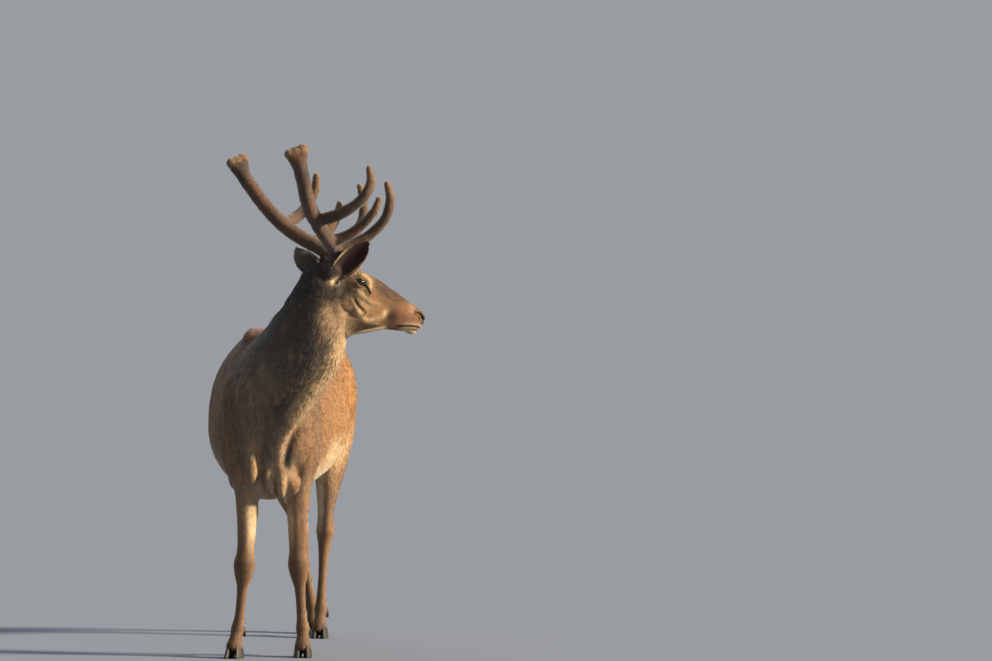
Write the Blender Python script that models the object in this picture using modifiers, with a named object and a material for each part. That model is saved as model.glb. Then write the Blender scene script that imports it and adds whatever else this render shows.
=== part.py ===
"""A red deer stag in summer coat and velvet antlers: a still, life-size standing model.

Units are metres and +Z is up. The stag faces -Y, its left side is +X and its hooves rest on the floor at z = 0.
The trunk, neck, skull and legs are lofts of oval sections. They are fused into one body, smoothed, and parted again
by thin plane cuts where a person would name the parts. The skull is laid out in a frame of its own.
"""

import math

import bmesh
import bpy
from mathutils import Matrix, Vector

# ---------------------------------------------------------------- driving sizes
WITHERS = 1.208  # height of the back over the shoulders
CHEST_FLOOR = 0.576  # lowest line of the breast
BARREL_HALF = 0.256  # half the width of the rib cage
HIP_Y = 0.42  # from the hips back the spine lies in the middle plane
SPINE_BEND = 0.04  # how far the rib cage swings to the stag's right
GAP = 0.0003  # clear space between neighbouring pieces
RING_POINTS = 20  # corners of a loft's section
VOXEL = 0.0065  # cell of the grid that fuses the forms
SMOOTHING = 9
BODY_TRIANGLES = 1750
HEAD_TRIANGLES = 1000

HEAD_CENTRE = Vector((0.332, -0.568, 1.368))  # midway between the eyes
HEAD_YAW = math.radians(28)  # the muzzle points this far from +X towards +Y
HEAD_PITCH = math.radians(24)  # and this far below the level
EYE_RADIUS = 0.0185
EYE_PLACE = (-0.002, 0.012, 0.0605)  # along the muzzle, up, out to the side

HOOF_LENGTH = 0.085
HOOF_WIDTH = 0.033


# ---------------------------------------------------------------- scene, materials
def clear_scene():
    for old in list(bpy.data.objects):
        bpy.data.objects.remove(old)


def new_collection(name):
    made = bpy.data.collections.new(name)
    bpy.context.scene.collection.children.link(made)
    return made


def new_material(name, colour, roughness):
    made = bpy.data.materials.new(name)
    made.use_nodes = True
    shader = made.node_tree.nodes["Principled BSDF"]
    shader.inputs["Base Color"].default_value = (*colour, 1.0)
    shader.inputs["Roughness"].default_value = roughness
    shader.inputs["Metallic"].default_value = 0.0
    return made


clear_scene()
STAG = new_collection("red_deer_stag")
HELPERS = new_collection("cutters")
FUR_BODY = new_material("fur_body", (0.36, 0.20, 0.10), 0.85)
FUR_NECK = new_material("fur_neck", (0.22, 0.16, 0.11), 0.85)
FUR_FACE = new_material("fur_face", (0.33, 0.20, 0.11), 0.8)
FUR_LEG = new_material("fur_leg", (0.28, 0.18, 0.11), 0.8)
VELVET = new_material("velvet", (0.20, 0.13, 0.085), 0.9)
HORN = new_material("hoof_horn", (0.03, 0.026, 0.024), 0.45)
EYE = new_material("eye", (0.02, 0.012, 0.008), 0.08)


# ---------------------------------------------------------------- mesh helpers
def catmull_rom(a, b, c, d, t):
    square = 2 * a - 5 * b + 4 * c - d
    cube = 3 * b - a - 3 * c + d
    return 0.5 * (2 * b + (c - a) * t + square * t**2 + cube * t**3)


def curve_through(points, steps):
    """Points on a smooth Catmull-Rom curve through rows of numbers, with that many steps between two rows."""
    rows = [list(p) for p in points]
    first = [2 * a - b for a, b in zip(rows[0], rows[1])]
    last = [2 * a - b for a, b in zip(rows[-1], rows[-2])]
    rows = [first, *rows, last]
    found = []
    for i in range(1, len(rows) - 2):
        p0, p1, p2, p3 = rows[i - 1 : i + 3]
        for step in range(steps):
            t = step / steps
            found.append([catmull_rom(a, b, c, d, t) for a, b, c, d in zip(p0, p1, p2, p3)])
    found.append(rows[-2])
    return found


def oval(centre, side, up, half_width, rise, drop, top_power=2.0, low_power=2.0, count=RING_POINTS):
    """A closed ring of points: half_width to each side, rise above and drop below the centre.

    A power of 2 gives an ellipse, less a pointed half and more a boxy one."""
    ring = []
    for i in range(count):
        angle = 2 * math.pi * (i + 0.5) / count
        c, s = math.cos(angle), math.sin(angle)
        power = top_power if s > 0 else low_power
        across = math.copysign(abs(c) ** (2 / power), c) * half_width
        height = math.copysign(abs(s) ** (2 / power), s) * (rise if s > 0 else drop)
        ring.append(centre + side * across + up * height)
    return ring


def loft(name, rings):
    """A closed tube of quads through rings with equal numbers of points, with a flat face at each end."""
    bm = bmesh.new()
    loops = [[bm.verts.new(p) for p in ring] for ring in rings]
    count = len(loops[0])
    for low, high in zip(loops, loops[1:]):
        for i in range(count):
            j = (i + 1) % count
            bm.faces.new((low[i], low[j], high[j], high[i]))
    bm.faces.new(loops[0])
    bm.faces.new(loops[-1])
    bmesh.ops.recalc_face_normals(bm, faces=bm.faces)
    return finish_mesh(name, bm)


def finish_mesh(name, bm):
    mesh = bpy.data.meshes.new(name)
    bm.to_mesh(mesh)
    bm.free()
    made = bpy.data.objects.new(name, mesh)
    STAG.objects.link(made)
    return made


def copy_of(source, name):
    made = bpy.data.objects.new(name, source.data.copy())
    STAG.objects.link(made)
    return made


def drop(*objects):
    for old in objects:
        bpy.data.objects.remove(old)


def baked(source):
    """Puts the object's evaluated mesh in place of its modifiers."""
    bpy.context.view_layer.update()
    graph = bpy.context.evaluated_depsgraph_get()
    mesh = bpy.data.meshes.new_from_object(source.evaluated_get(graph))
    source.modifiers.clear()
    source.data = mesh
    return source


def joined(name, pieces):
    """One object that holds all the pieces' meshes, still overlapping."""
    bm = bmesh.new()
    for piece in pieces:
        bm.from_mesh(piece.data)
    drop(*pieces)
    return finish_mesh(name, bm)


def fused(source, voxel, passes):
    """Melts overlapping shapes into one smooth skin."""
    remesh = source.modifiers.new("fuse", "REMESH")
    remesh.mode = "VOXEL"
    remesh.voxel_size = voxel
    remesh.adaptivity = 0.0
    smooth = source.modifiers.new("smooth", "SMOOTH")
    smooth.factor = 0.5
    smooth.iterations = passes
    return baked(source)


def thinned(source, triangles):
    """The same shape with about that many triangles."""
    count = sum(len(face.vertices) - 2 for face in source.data.polygons)
    thin = source.modifiers.new("thin", "DECIMATE")
    thin.ratio = triangles / count
    thin.use_collapse_triangulate = True
    return baked(source)


def kept_side(source, point, normal, name):
    """A copy of the part of the mesh on the side that the normal points to, closed along the cut."""
    made = copy_of(source, name)
    bm = bmesh.new()
    bm.from_mesh(made.data)
    geometry = bm.verts[:] + bm.edges[:] + bm.faces[:]
    bmesh.ops.bisect_plane(
        bm, geom=geometry, plane_co=point, plane_no=normal, clear_inner=True, clear_outer=False, dist=1e-6
    )
    rim = [edge for edge in bm.edges if edge.is_boundary]
    bmesh.ops.edgeloop_fill(bm, edges=rim)
    bmesh.ops.recalc_face_normals(bm, faces=bm.faces)
    bm.to_mesh(made.data)
    bm.free()
    return made


def trimmed_to(source, point, normal):
    name = source.name
    made = kept_side(source, point, normal, f"{name}_trimmed")
    drop(source)
    return made


def parted(source, point, normal, ahead, behind):
    """Splits a solid by a plane into two, GAP apart: the piece ahead of the normal and the one behind it."""
    point, normal = Vector(point), Vector(normal).normalized()
    front = kept_side(source, point + normal * GAP / 2, normal, ahead)
    back = kept_side(source, point - normal * GAP / 2, -normal, behind)
    drop(source)
    return front, back


def loose_parts(source):
    """Splits an object into its unconnected bodies, and removes crumbs."""
    bm = bmesh.new()
    bm.from_mesh(source.data)
    bm.verts.ensure_lookup_table()
    seen, groups = set(), []
    for start in bm.verts:
        if start in seen:
            continue
        seen.add(start)
        group, front = [], [start]
        while front:
            vert = front.pop()
            group.append(vert)
            for edge in vert.link_edges:
                other = edge.other_vert(vert)
                if other not in seen:
                    seen.add(other)
                    front.append(other)
        groups.append({v.index for v in group})
    bm.free()
    parts = []
    for number, group in enumerate(sorted(groups, key=len, reverse=True)):
        if len(group) < 8:
            continue
        part = copy_of(source, f"{source.name}_{number}")
        bm = bmesh.new()
        bm.from_mesh(part.data)
        bmesh.ops.delete(bm, geom=[v for v in bm.verts if v.index not in group], context="VERTS")
        bm.to_mesh(part.data)
        bm.free()
        parts.append(part)
    drop(source)
    return parts


def middle(source):
    corners = [v.co for v in source.data.vertices]
    return sum(corners, Vector()) / len(corners)


def dressed(source, name, material):
    """Gives a finished piece its name and finish."""
    source.name = name
    source.data.name = name
    source.data.materials.clear()
    source.data.materials.append(material)
    source.data.shade_smooth()
    return source


def trimmed(piece, neighbour):
    """Cuts away what lies inside the neighbour, which keeps the gap to it."""
    cutter = bpy.data.objects.new(f"cut_{piece.name}_by_{neighbour.name}", neighbour.data.copy())
    HELPERS.objects.link(cutter)
    cutter.hide_render = True
    cutter.display_type = "WIRE"
    swell = cutter.modifiers.new("swell", "DISPLACE")
    swell.strength = GAP
    swell.mid_level = 0.0
    cut = piece.modifiers.new("trim", "BOOLEAN")
    cut.operation = "DIFFERENCE"
    cut.solver = "EXACT"
    cut.object = cutter
    baked(piece)
    drop(cutter)
    return piece


def largest_only(piece):
    """Keeps the biggest body of a trimmed piece, without the stub that was inside its neighbour."""
    name = piece.name
    parts = loose_parts(piece)
    drop(*parts[1:])
    parts[0].name = name
    return parts[0]


# ---------------------------------------------------------------- trunk
def spine_shift(y):
    """The spine curves a little: the ribs swing to the right, and the breast to the left, after the neck."""
    if y > HIP_Y:
        return 0.0
    return -SPINE_BEND * (1 - (y / HIP_Y) ** 2)


def make_trunk():
    # along the body, top, floor, height of the widest line, half width, power of the top and of the floor
    sections = [
        (-0.618, 0.945, 0.755, 0.85, 0.055, 2.0, 2.0),
        (-0.585, 1.020, 0.668, 0.85, 0.115, 2.0, 2.0),
        (-0.510, 1.105, 0.606, 0.85, 0.160, 1.9, 1.9),
        (-0.420, 1.180, CHEST_FLOOR, 0.85, 0.178, 2.1, 1.9),
        (-0.330, WITHERS, CHEST_FLOOR, 0.85, 0.196, 2.15, 2.0),
        (-0.220, 1.196, 0.578, 0.84, 0.224, 2.15, 2.1),
        (-0.080, 1.168, 0.580, 0.83, 0.248, 2.3, 2.1),
        (0.060, 1.155, 0.590, 0.83, BARREL_HALF, 2.35, 2.1),
        (0.200, 1.158, 0.620, 0.85, 0.244, 2.2, 2.1),
        (0.310, 1.172, 0.665, 0.88, 0.216, 2.0, 2.0),
        (0.430, 1.178, 0.725, 0.92, 0.205, 2.0, 2.0),
        (0.550, 1.145, 0.775, 0.94, 0.180, 2.0, 2.0),
        (0.635, 1.080, 0.830, 0.95, 0.135, 2.0, 2.0),
        (0.680, 1.015, 0.890, 0.95, 0.070, 2.0, 2.0),
    ]
    rings = []
    for y, top, floor, wide, half, top_power, low_power in curve_through(sections, 3):
        centre = Vector((spine_shift(y), y, wide))
        side, up = Vector((1, 0, 0)), Vector((0, 0, 1))
        rings.append(oval(centre, side, up, half, top - wide, wide - floor, top_power, low_power))
    return loft("trunk_form", rings)


# muscles and bones that stand out of the trunk: centre out from the middle line, y, z, then the three radii
MASSES = [
    (0.122, -0.500, 0.830, 0.048, 0.060, 0.085),
    (0.124, -0.335, 0.665, 0.036, 0.056, 0.060),
    (0.110, 0.250, 1.070, 0.056, 0.080, 0.058),
    (0.128, 0.310, 0.775, 0.050, 0.070, 0.090),
]
# the knobs of the brisket, which hang a little to the left, the front of the right arm and the top of the withers:
# centre, then the three radii
SINGLE_MASSES = [
    (0.060, -0.546, 0.674, 0.064, 0.062, 0.084),
    (0.024, -0.584, 0.662, 0.032, 0.034, 0.052),
    (0.074, -0.588, 0.662, 0.026, 0.036, 0.062),
    (0.106, -0.566, 0.652, 0.036, 0.038, 0.048),
    (0.064, -0.552, 0.632, 0.042, 0.056, 0.042),
    (-0.034, -0.576, 0.718, 0.024, 0.050, 0.078),
    (-0.070, -0.300, 1.162, 0.046, 0.110, 0.048),
]
# the ridge of the windpipe, from the throat down to the brisket: centre, half width, half depth
THROAT = [
    (0.276, -0.592, 1.228, 0.036, 0.040),
    (0.270, -0.580, 1.165, 0.044, 0.048),
    (0.238, -0.580, 1.090, 0.052, 0.056),
    (0.164, -0.588, 0.990, 0.056, 0.060),
    (0.106, -0.592, 0.910, 0.054, 0.058),
    (0.058, -0.588, 0.830, 0.048, 0.054),
    (0.020, -0.575, 0.750, 0.044, 0.050),
    (0.020, -0.560, 0.690, 0.036, 0.040),
]


def make_body_masses():
    made = []
    for out, y, z, *radii in MASSES:
        for side in (-1, 1):
            centre = Vector((side * out + 0.6 * spine_shift(y), y, z))
            made.append(ellipsoid("mass", centre, radii, Matrix.Identity(4)))
    for x, y, z, *radii in SINGLE_MASSES:
        made.append(ellipsoid("mass", Vector((x, y, z)), radii, Matrix.Identity(4)))
    return made


def limb(name, stations, steps=3, count=16):
    """A limb through rows of centre x, y, z, half width and half depth, its sections square to its own line."""
    rows = curve_through(stations, steps)
    rings = []
    for i, (x, y, z, half_width, half_depth) in enumerate(rows):
        ahead = Vector(rows[min(i + 1, len(rows) - 1)][:3])
        back = Vector(rows[max(i - 1, 0)][:3])
        along = (ahead - back).normalized()
        side = Vector((1, 0, 0))
        side = (side - along * side.dot(along)).normalized()
        depth = side.cross(along).normalized()
        rings.append(oval(Vector((x, y, z)), side, depth, half_width, half_depth, half_depth, count=count))
    return loft(name, rings)


# ---------------------------------------------------------------- legs
# centre out from the middle line, y, z, half width across, half depth fore and aft
SHOULDER = [
    (0.070, -0.320, 1.140, 0.030, 0.080),
    (0.098, -0.335, 1.050, 0.046, 0.112),
    (0.122, -0.375, 0.950, 0.058, 0.138),
    (0.130, -0.425, 0.850, 0.060, 0.142),
    (0.124, -0.430, 0.760, 0.060, 0.125),
    (0.108, -0.405, 0.680, 0.053, 0.100),
]
FOREARM = [
    (0.094, -0.392, 0.610, 0.046, 0.072),
    (0.090, -0.396, 0.530, 0.041, 0.056),
    (0.090, -0.404, 0.450, 0.035, 0.043),
    (0.092, -0.410, 0.385, 0.031, 0.034),
]
FORE_SHANK = [
    (0.094, -0.413, 0.345, 0.0345, 0.036),
    (0.096, -0.410, 0.300, 0.0310, 0.031),
    (0.099, -0.405, 0.255, 0.0205, 0.0235),
    (0.103, -0.402, 0.190, 0.0175, 0.0215),
    (0.107, -0.400, 0.140, 0.0190, 0.0240),
    (0.110, -0.400, 0.108, 0.0240, 0.0290),
    (0.113, -0.412, 0.078, 0.0215, 0.0240),
    (0.115, -0.424, 0.048, 0.0270, 0.0300),
    (0.116, -0.434, 0.030, 0.0240, 0.0280),
]
HAUNCH = [
    (0.085, 0.400, 1.110, 0.048, 0.110),
    (0.106, 0.420, 1.020, 0.071, 0.165),
    (0.118, 0.440, 0.920, 0.080, 0.195),
    (0.118, 0.440, 0.820, 0.079, 0.190),
    (0.114, 0.430, 0.730, 0.072, 0.155),
]
GASKIN = [
    (0.108, 0.440, 0.640, 0.060, 0.115),
    (0.098, 0.478, 0.560, 0.044, 0.080),
    (0.088, 0.520, 0.495, 0.034, 0.056),
]
HIND_SHANK = [
    (0.082, 0.556, 0.445, 0.0305, 0.047),
    (0.080, 0.572, 0.405, 0.0320, 0.044),
    (0.078, 0.576, 0.360, 0.0260, 0.034),
    (0.077, 0.570, 0.300, 0.0190, 0.0260),
    (0.076, 0.560, 0.220, 0.0165, 0.0225),
    (0.075, 0.550, 0.145, 0.0190, 0.0250),
    (0.075, 0.546, 0.110, 0.0240, 0.0300),
    (0.075, 0.532, 0.078, 0.0210, 0.0245),
    (0.075, 0.518, 0.048, 0.0260, 0.0300),
    (0.075, 0.506, 0.030, 0.0235, 0.0280),
]


class Stance:
    """How far one leg's foot is moved from the even stance, fading out towards the top of the leg."""

    def __init__(self, side, top, foot_x, foot_y, middle_x=0.0):
        self.side = side
        self.top = top
        self.foot_x = foot_x
        self.foot_y = foot_y
        self.middle_x = middle_x

    def placed(self, stations):
        moved = []
        for x, y, z, half_width, half_depth in stations:
            share = max(0.0, 1 - z / self.top)
            bow = math.sin(math.pi * min(1.0, z / self.top))
            moved.append(
                (
                    self.side * x + share * self.foot_x + bow * self.middle_x,
                    y + share * self.foot_y,
                    z,
                    half_width,
                    half_depth,
                )
            )
        return moved


LEGS = {
    "foreleg_right": Stance(-1, 0.95, -0.012, -0.030, 0.012),
    "foreleg_left": Stance(1, 0.95, 0.002, 0.035, 0.008),
    "hindleg_right": Stance(-1, 0.90, 0.078, 0.170, -0.018),
    "hindleg_left": Stance(1, 0.90, -0.026, -0.045, -0.004),
}


def leg_stations(name):
    stance = LEGS[name]
    if name.startswith("fore"):
        return stance.placed(SHOULDER + FOREARM + FORE_SHANK)
    return stance.placed(HAUNCH + GASKIN + HIND_SHANK)


# ---------------------------------------------------------------- neck
# centre x, y, z, heading of the throat in degrees from +X, half depth throat to nape, half width
NECK = [
    (0.000, -0.300, 0.930, -90, 0.285, 0.180),
    (0.022, -0.425, 1.000, -80, 0.232, 0.158),
    (0.075, -0.505, 1.075, -62, 0.182, 0.136),
    (0.133, -0.560, 1.145, -38, 0.154, 0.118),
    (0.182, -0.595, 1.220, -10, 0.133, 0.102),
    (0.213, -0.612, 1.300, 12, 0.117, 0.088),
    (0.238, -0.616, 1.372, 28, 0.100, 0.078),
    (0.262, -0.604, 1.420, 28, 0.070, 0.060),
]


def make_neck():
    rows = curve_through(NECK, 3)
    rings = []
    for i, (x, y, z, heading, half_depth, half_width) in enumerate(rows):
        along = (Vector(rows[min(i + 1, len(rows) - 1)][:3]) - Vector(rows[max(i - 1, 0)][:3])).normalized()
        throat = Vector((math.cos(math.radians(heading)), math.sin(math.radians(heading)), 0))
        nape = -(throat - along * throat.dot(along)).normalized()
        side = along.cross(nape).normalized()
        rings.append(oval(Vector((x, y, z)), side, nape, half_width, half_depth, half_depth, 1.9, 2.1))
    return loft("neck_form", rings)


# ---------------------------------------------------------------- head
def head_matrix():
    """Head frame: local X along the muzzle, local Y to the stag's left, local Z up from the palate."""
    return (
        Matrix.Translation(HEAD_CENTRE)
        @ Matrix.Rotation(HEAD_YAW, 4, "Z")
        @ Matrix.Rotation(HEAD_PITCH, 4, "Y")
    )


HEAD = head_matrix()


def on_head(along, up, out=0.0):
    return HEAD @ Vector((along, out, up))


# along the muzzle, top, bottom, height of the widest line, half width, power of the top and of the bottom
SKULL = [
    (-0.160, 0.010, -0.060, -0.015, 0.040, 2.0, 2.0),
    (-0.130, 0.046, -0.090, -0.005, 0.058, 2.1, 2.0),
    (-0.085, 0.062, -0.115, 0.000, 0.066, 2.2, 1.9),
    (-0.035, 0.062, -0.128, 0.008, 0.070, 2.3, 1.8),
    (0.010, 0.060, -0.133, 0.010, 0.072, 2.4, 1.8),
    (0.050, 0.059, -0.134, 0.004, 0.065, 2.4, 1.8),
    (0.090, 0.056, -0.128, -0.004, 0.055, 2.4, 1.8),
    (0.130, 0.047, -0.115, -0.010, 0.047, 2.4, 1.9),
    (0.175, 0.040, -0.100, -0.016, 0.041, 2.4, 2.0),
    (0.220, 0.031, -0.086, -0.020, 0.0370, 2.4, 2.1),
    (0.258, 0.025, -0.074, -0.022, 0.0380, 2.3, 2.2),
    (0.285, 0.013, -0.060, -0.024, 0.0330, 2.2, 2.2),
    (0.302, -0.004, -0.040, -0.022, 0.0190, 2.0, 2.0),
]


def make_skull():
    rings = []
    matrix = HEAD.to_3x3()
    side, up = matrix @ Vector((0, 1, 0)), matrix @ Vector((0, 0, 1))
    for along, top, floor, wide, half, top_power, low_power in curve_through(SKULL, 3):
        rings.append(oval(on_head(along, wide), side, up, half, top - wide, wide - floor, top_power, low_power))
    return loft("skull_form", rings)


def ellipsoid(name, centre, radii, turn=None):
    """A rounded mass. On the head its radii run along the muzzle, out to the side and up."""
    bm = bmesh.new()
    bmesh.ops.create_uvsphere(bm, u_segments=20, v_segments=12, radius=1.0)
    shape = Matrix.Diagonal((*radii, 1.0))
    frame = Matrix.Translation(centre) @ (turn or HEAD.to_3x3().to_4x4()) @ shape
    bmesh.ops.transform(bm, matrix=frame, verts=bm.verts)
    return finish_mesh(name, bm)


# below the jaw, where the head meets the neck
THROAT_LATCH = [  # the soft throat below the jaw: along, top, floor, height of the widest line, half width
    (-0.075, -0.060, -0.165, -0.100, 0.030),
    (-0.040, -0.060, -0.196, -0.100, 0.040),
    (0.000, -0.060, -0.208, -0.100, 0.042),
    (0.035, -0.060, -0.198, -0.100, 0.040),
    (0.070, -0.060, -0.174, -0.095, 0.036),
    (0.105, -0.060, -0.148, -0.090, 0.032),
    (0.140, -0.060, -0.124, -0.085, 0.028),
    (0.170, -0.060, -0.104, -0.080, 0.022),
]


def make_head_masses():
    masses = []
    for side in (-1, 1):
        masses += [
            ellipsoid("brow", on_head(0.004, 0.026, side * 0.052), (0.040, 0.028, 0.027)),
            ellipsoid("cheek", on_head(-0.030, -0.058, side * 0.040), (0.062, 0.028, 0.056)),
            ellipsoid("pedicle", on_head(-0.112, 0.052, side * 0.048), (0.030, 0.027, 0.034)),
            ellipsoid("ear_root", on_head(-0.118, 0.004, side * 0.058), (0.034, 0.030, 0.034)),
            ellipsoid("nostril_wing", on_head(0.276, -0.006, side * 0.018), (0.022, 0.019, 0.019)),
        ]
    masses.append(ellipsoid("chin", on_head(0.262, -0.060), (0.030, 0.022, 0.018)))
    rings = []
    matrix = HEAD.to_3x3()
    side, up = matrix @ Vector((0, 1, 0)), matrix @ Vector((0, 0, 1))
    for along, top, floor, wide, half in curve_through(THROAT_LATCH, 3):
        rings.append(oval(on_head(along, wide), side, up, half, top - wide, wide - floor))
    masses.append(loft("throat_latch", rings))
    return masses


# ---------------------------------------------------------------- cuts between the named pieces
CREST = Vector((0, 0, 1.224))  # above this slanted cut there is only the neck and the head
CREST_NORMAL = Vector((0.38, 0, 1)).normalized()
OVERLAP = 0.03  # two meshes that are thinned apart reach this far past the cut before they are parted
HEAD_CUT = on_head(-0.165, 0.030)  # the cut behind the head passes the back of the skull
HEAD_CUT_NORMAL = (HEAD.to_3x3() @ Vector((0.80, 0.0, 0.60))).normalized()
NECK_BASE = Vector((0.030, -0.455, 1.030))
NECK_BASE_NORMAL = Vector((0.18, -0.88, 0.44))
CHEST_BACK = -0.165
BARREL_BACK = 0.205
UNDERLINE = 0.572  # below this height there are only the legs
SHOULDER_CUT = Vector((0.095, -0.40, 0.80))
SHOULDER_NORMAL = Vector((0.95, 0.03, -0.30))
THIGH_CUT = Vector((0.085, 0.42, 0.85))
THIGH_NORMAL = Vector((0.95, 0.0, -0.30))
# name of the piece above the cut, height, tilt of the cut fore and aft
FORE_CUTS = [("forearm", 0.335, 0.0), ("cannon", 0.108, 0.0), ("pastern", 0.044, -0.35)]
HIND_CUTS = [("gaskin", 0.385, 0.0), ("cannon", 0.108, 0.0), ("pastern", 0.044, -0.35)]
SIDES = ((-1, "right"), (1, "left"))


# ---------------------------------------------------------------- build the flesh
def make_flesh():
    """The body below the crest and the head and neck above it, thinned apart so the head keeps finer facets."""
    forms = [make_trunk(), make_neck(), make_skull(), *make_head_masses(), *make_body_masses()]
    forms.append(limb("throat_form", THROAT))
    for name in LEGS:
        forms.append(limb(f"{name}_form", leg_stations(name)))
    skin = fused(joined("skin", forms), VOXEL, SMOOTHING)
    up = CREST_NORMAL
    upper = kept_side(skin, CREST - up * OVERLAP, up, "upper_rough")
    lower = kept_side(skin, CREST + up * OVERLAP, -up, "lower_rough")
    drop(skin)
    upper = trimmed_to(thinned(upper, HEAD_TRIANGLES), CREST + up * GAP / 2, up)
    lower = trimmed_to(thinned(lower, BODY_TRIANGLES), CREST - up * GAP / 2, -up)
    return upper, lower


def part_flesh(upper, lower):
    """Names the regions of the skin from front to back and from top to bottom."""
    head, nape = parted(upper, HEAD_CUT, HEAD_CUT_NORMAL, "head_rough", "nape")
    body, legs = parted(lower, (0, 0, UNDERLINE), (0, 0, 1), "body", "legs")
    neck, rest = parted(body, NECK_BASE, NECK_BASE_NORMAL, "neck", "rest")
    back, chest = parted(rest, (0, CHEST_BACK, 0.9), (0, 1, 0.05), "back", "chest_rough")
    rump, barrel = parted(back, (0, BARREL_BACK, 0.9), (0, 1, 0.10), "rump_rough", "barrel")
    for side, word in SIDES:
        mirror = Vector((side, 1, 1))
        point, normal = SHOULDER_CUT * mirror, SHOULDER_NORMAL * mirror
        shoulder, chest = parted(chest, point, normal, "shoulder", "chest_rough")
        dressed(shoulder, f"foreleg_{word}_shoulder", FUR_BODY)
        thigh, rump = parted(rump, THIGH_CUT * mirror, THIGH_NORMAL * mirror, "thigh", "rump_rough")
        dressed(thigh, f"hindleg_{word}_thigh", FUR_BODY)
    for leg in loose_parts(legs):
        centre = middle(leg)
        name = min(LEGS, key=lambda n: math.dist(station_at(n, centre.z), centre.xy))
        part_leg(leg, name, FORE_CUTS if name.startswith("fore") else HIND_CUTS)
    dressed(nape, "nape", FUR_NECK)
    dressed(neck, "neck", FUR_NECK)
    dressed(barrel, "barrel", FUR_BODY)
    dressed(chest, "chest", FUR_BODY)
    dressed(rump, "rump", FUR_BODY)
    return head, rump


def part_leg(leg, name, cuts):
    rest = leg
    for word, height, tilt in cuts:
        x, y = station_at(name, height)
        upper, rest = parted(rest, (x, y, height), (0, tilt, 1), f"{name}_{word}", "rest")
        dressed(upper, f"{name}_{word}", FUR_LEG)
    drop(rest)


def station_at(name, height):
    """The centre of a leg's section at a height."""
    rows = leg_stations(name)
    for above, below in zip(rows, rows[1:]):
        if below[2] <= height <= above[2]:
            t = (above[2] - height) / (above[2] - below[2])
            return above[0] + (below[0] - above[0]) * t, above[1] + (below[1] - above[1]) * t
    return rows[-1][:2]


# ---------------------------------------------------------------- hooves and dewclaws
# height, length, width, how far the outline's middle lies behind the toe-to-heel middle of the sole
CLEAVE = [
    (0.000, 1.00, 1.00, 0.000),
    (0.006, 1.02, 1.04, 0.000),
    (0.024, 0.86, 1.00, 0.006),
    (0.060, 0.62, 0.86, 0.017),
]


def sole_outline(count=11):
    """A cleave's outline, toe towards -Y: pointed at the toe, round at the heel, flatter on its inner side."""
    outline = []
    for i in range(count):
        angle = 2 * math.pi * i / count
        across, along = math.sin(angle), -math.cos(angle)
        taper = 0.5 + 0.5 * math.tanh(1.6 * (along + 0.75))
        inner = 0.94 if across < 0 else 1.0
        outline.append((across * inner * (0.35 + 0.65 * taper), along))
    return outline


def make_hooves(name, cut_point, cut_normal):
    """Two cleaves per foot, standing flat on the floor and cut off below the pastern."""
    x, y = station_at(name, 0.044)
    toe_out = LEGS[name].side * 0.10
    made = []
    for claw, word in ((-1, "right"), (1, "left")):
        rings = []
        for height, length, width, back in CLEAVE:
            ring = []
            for across, along in sole_outline():
                px = claw * (HOOF_WIDTH * 0.5 + 0.0022 + across * width * HOOF_WIDTH / 2)
                py = along * length * HOOF_LENGTH / 2 + back - 0.006
                ring.append(Vector((x + px - toe_out * py, y + py + claw * toe_out * px, height)))
            rings.append(ring)
        hoof = loft(f"hoof_{name}_{word}", rings)
        kept = kept_side(hoof, cut_point - cut_normal * GAP / 2, -cut_normal, "hoof")
        drop(hoof)
        made.append(dressed(kept, f"hoof_{name}_{word}", HORN))
    return made


def make_dewclaws(name, neighbours):
    """Two small horn cones behind the fetlock."""
    x, y = station_at(name, 0.100)
    made = []
    for claw, word in ((-1, "right"), (1, "left")):
        root = Vector((x + claw * 0.013, y + 0.014, 0.112))
        tip = root + Vector((claw * 0.006, 0.032, -0.036))
        rings = tube_rings([(*root, 0.0110), (*root.lerp(tip, 0.65), 0.0100), (*tip, 0.0045)], 1, 6)
        piece = loft(f"dewclaw_{name}_{word}", rings)
        for neighbour in neighbours:
            trimmed(piece, neighbour)
        made.append(dressed(largest_only(piece), f"dewclaw_{name}_{word}", HORN))
    return made


def tube_rings(stations, steps, count):
    """Rings of a round tube through rows of x, y, z and radius."""
    rows = curve_through(stations, steps)
    rings = []
    turn = None
    for i, (x, y, z, radius) in enumerate(rows):
        along = (Vector(rows[min(i + 1, len(rows) - 1)][:3]) - Vector(rows[max(i - 1, 0)][:3])).normalized()
        if turn is None:
            turn = along.orthogonal().normalized()
        turn = (turn - along * turn.dot(along)).normalized()
        rings.append(oval(Vector((x, y, z)), turn, along.cross(turn), radius, radius, radius, count=count))
    return rings


# ---------------------------------------------------------------- antlers
# rows of forward, out to the side, up and radius, from the coronet in the antlers' own frame
CORONET = (-0.125, 0.074, 0.055)  # along the muzzle, up, out to the side
ANTLER_ROLL = math.radians(4)  # the right antler is carried a little higher
BEAM = [
    (0.012, -0.012, -0.040, 0.0230),
    (0.000, 0.000, 0.000, 0.0255),
    (-0.052, 0.062, 0.045, 0.0262),
    (-0.101, 0.111, 0.088, 0.0265),
    (-0.142, 0.142, 0.133, 0.0262),
    (-0.174, 0.179, 0.181, 0.0255),
    (-0.200, 0.218, 0.233, 0.0250),
    (-0.224, 0.252, 0.283, 0.0255),
    (-0.240, 0.270, 0.322, 0.0265),
]
BROW = [
    (-0.010, 0.006, 0.006, 0.0215),
    (0.060, 0.018, 0.028, 0.0205),
    (0.124, 0.038, 0.070, 0.0190),
    (0.164, 0.067, 0.123, 0.0175),
    (0.174, 0.088, 0.188, 0.0158),
    (0.162, 0.090, 0.244, 0.0115),
]
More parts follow.
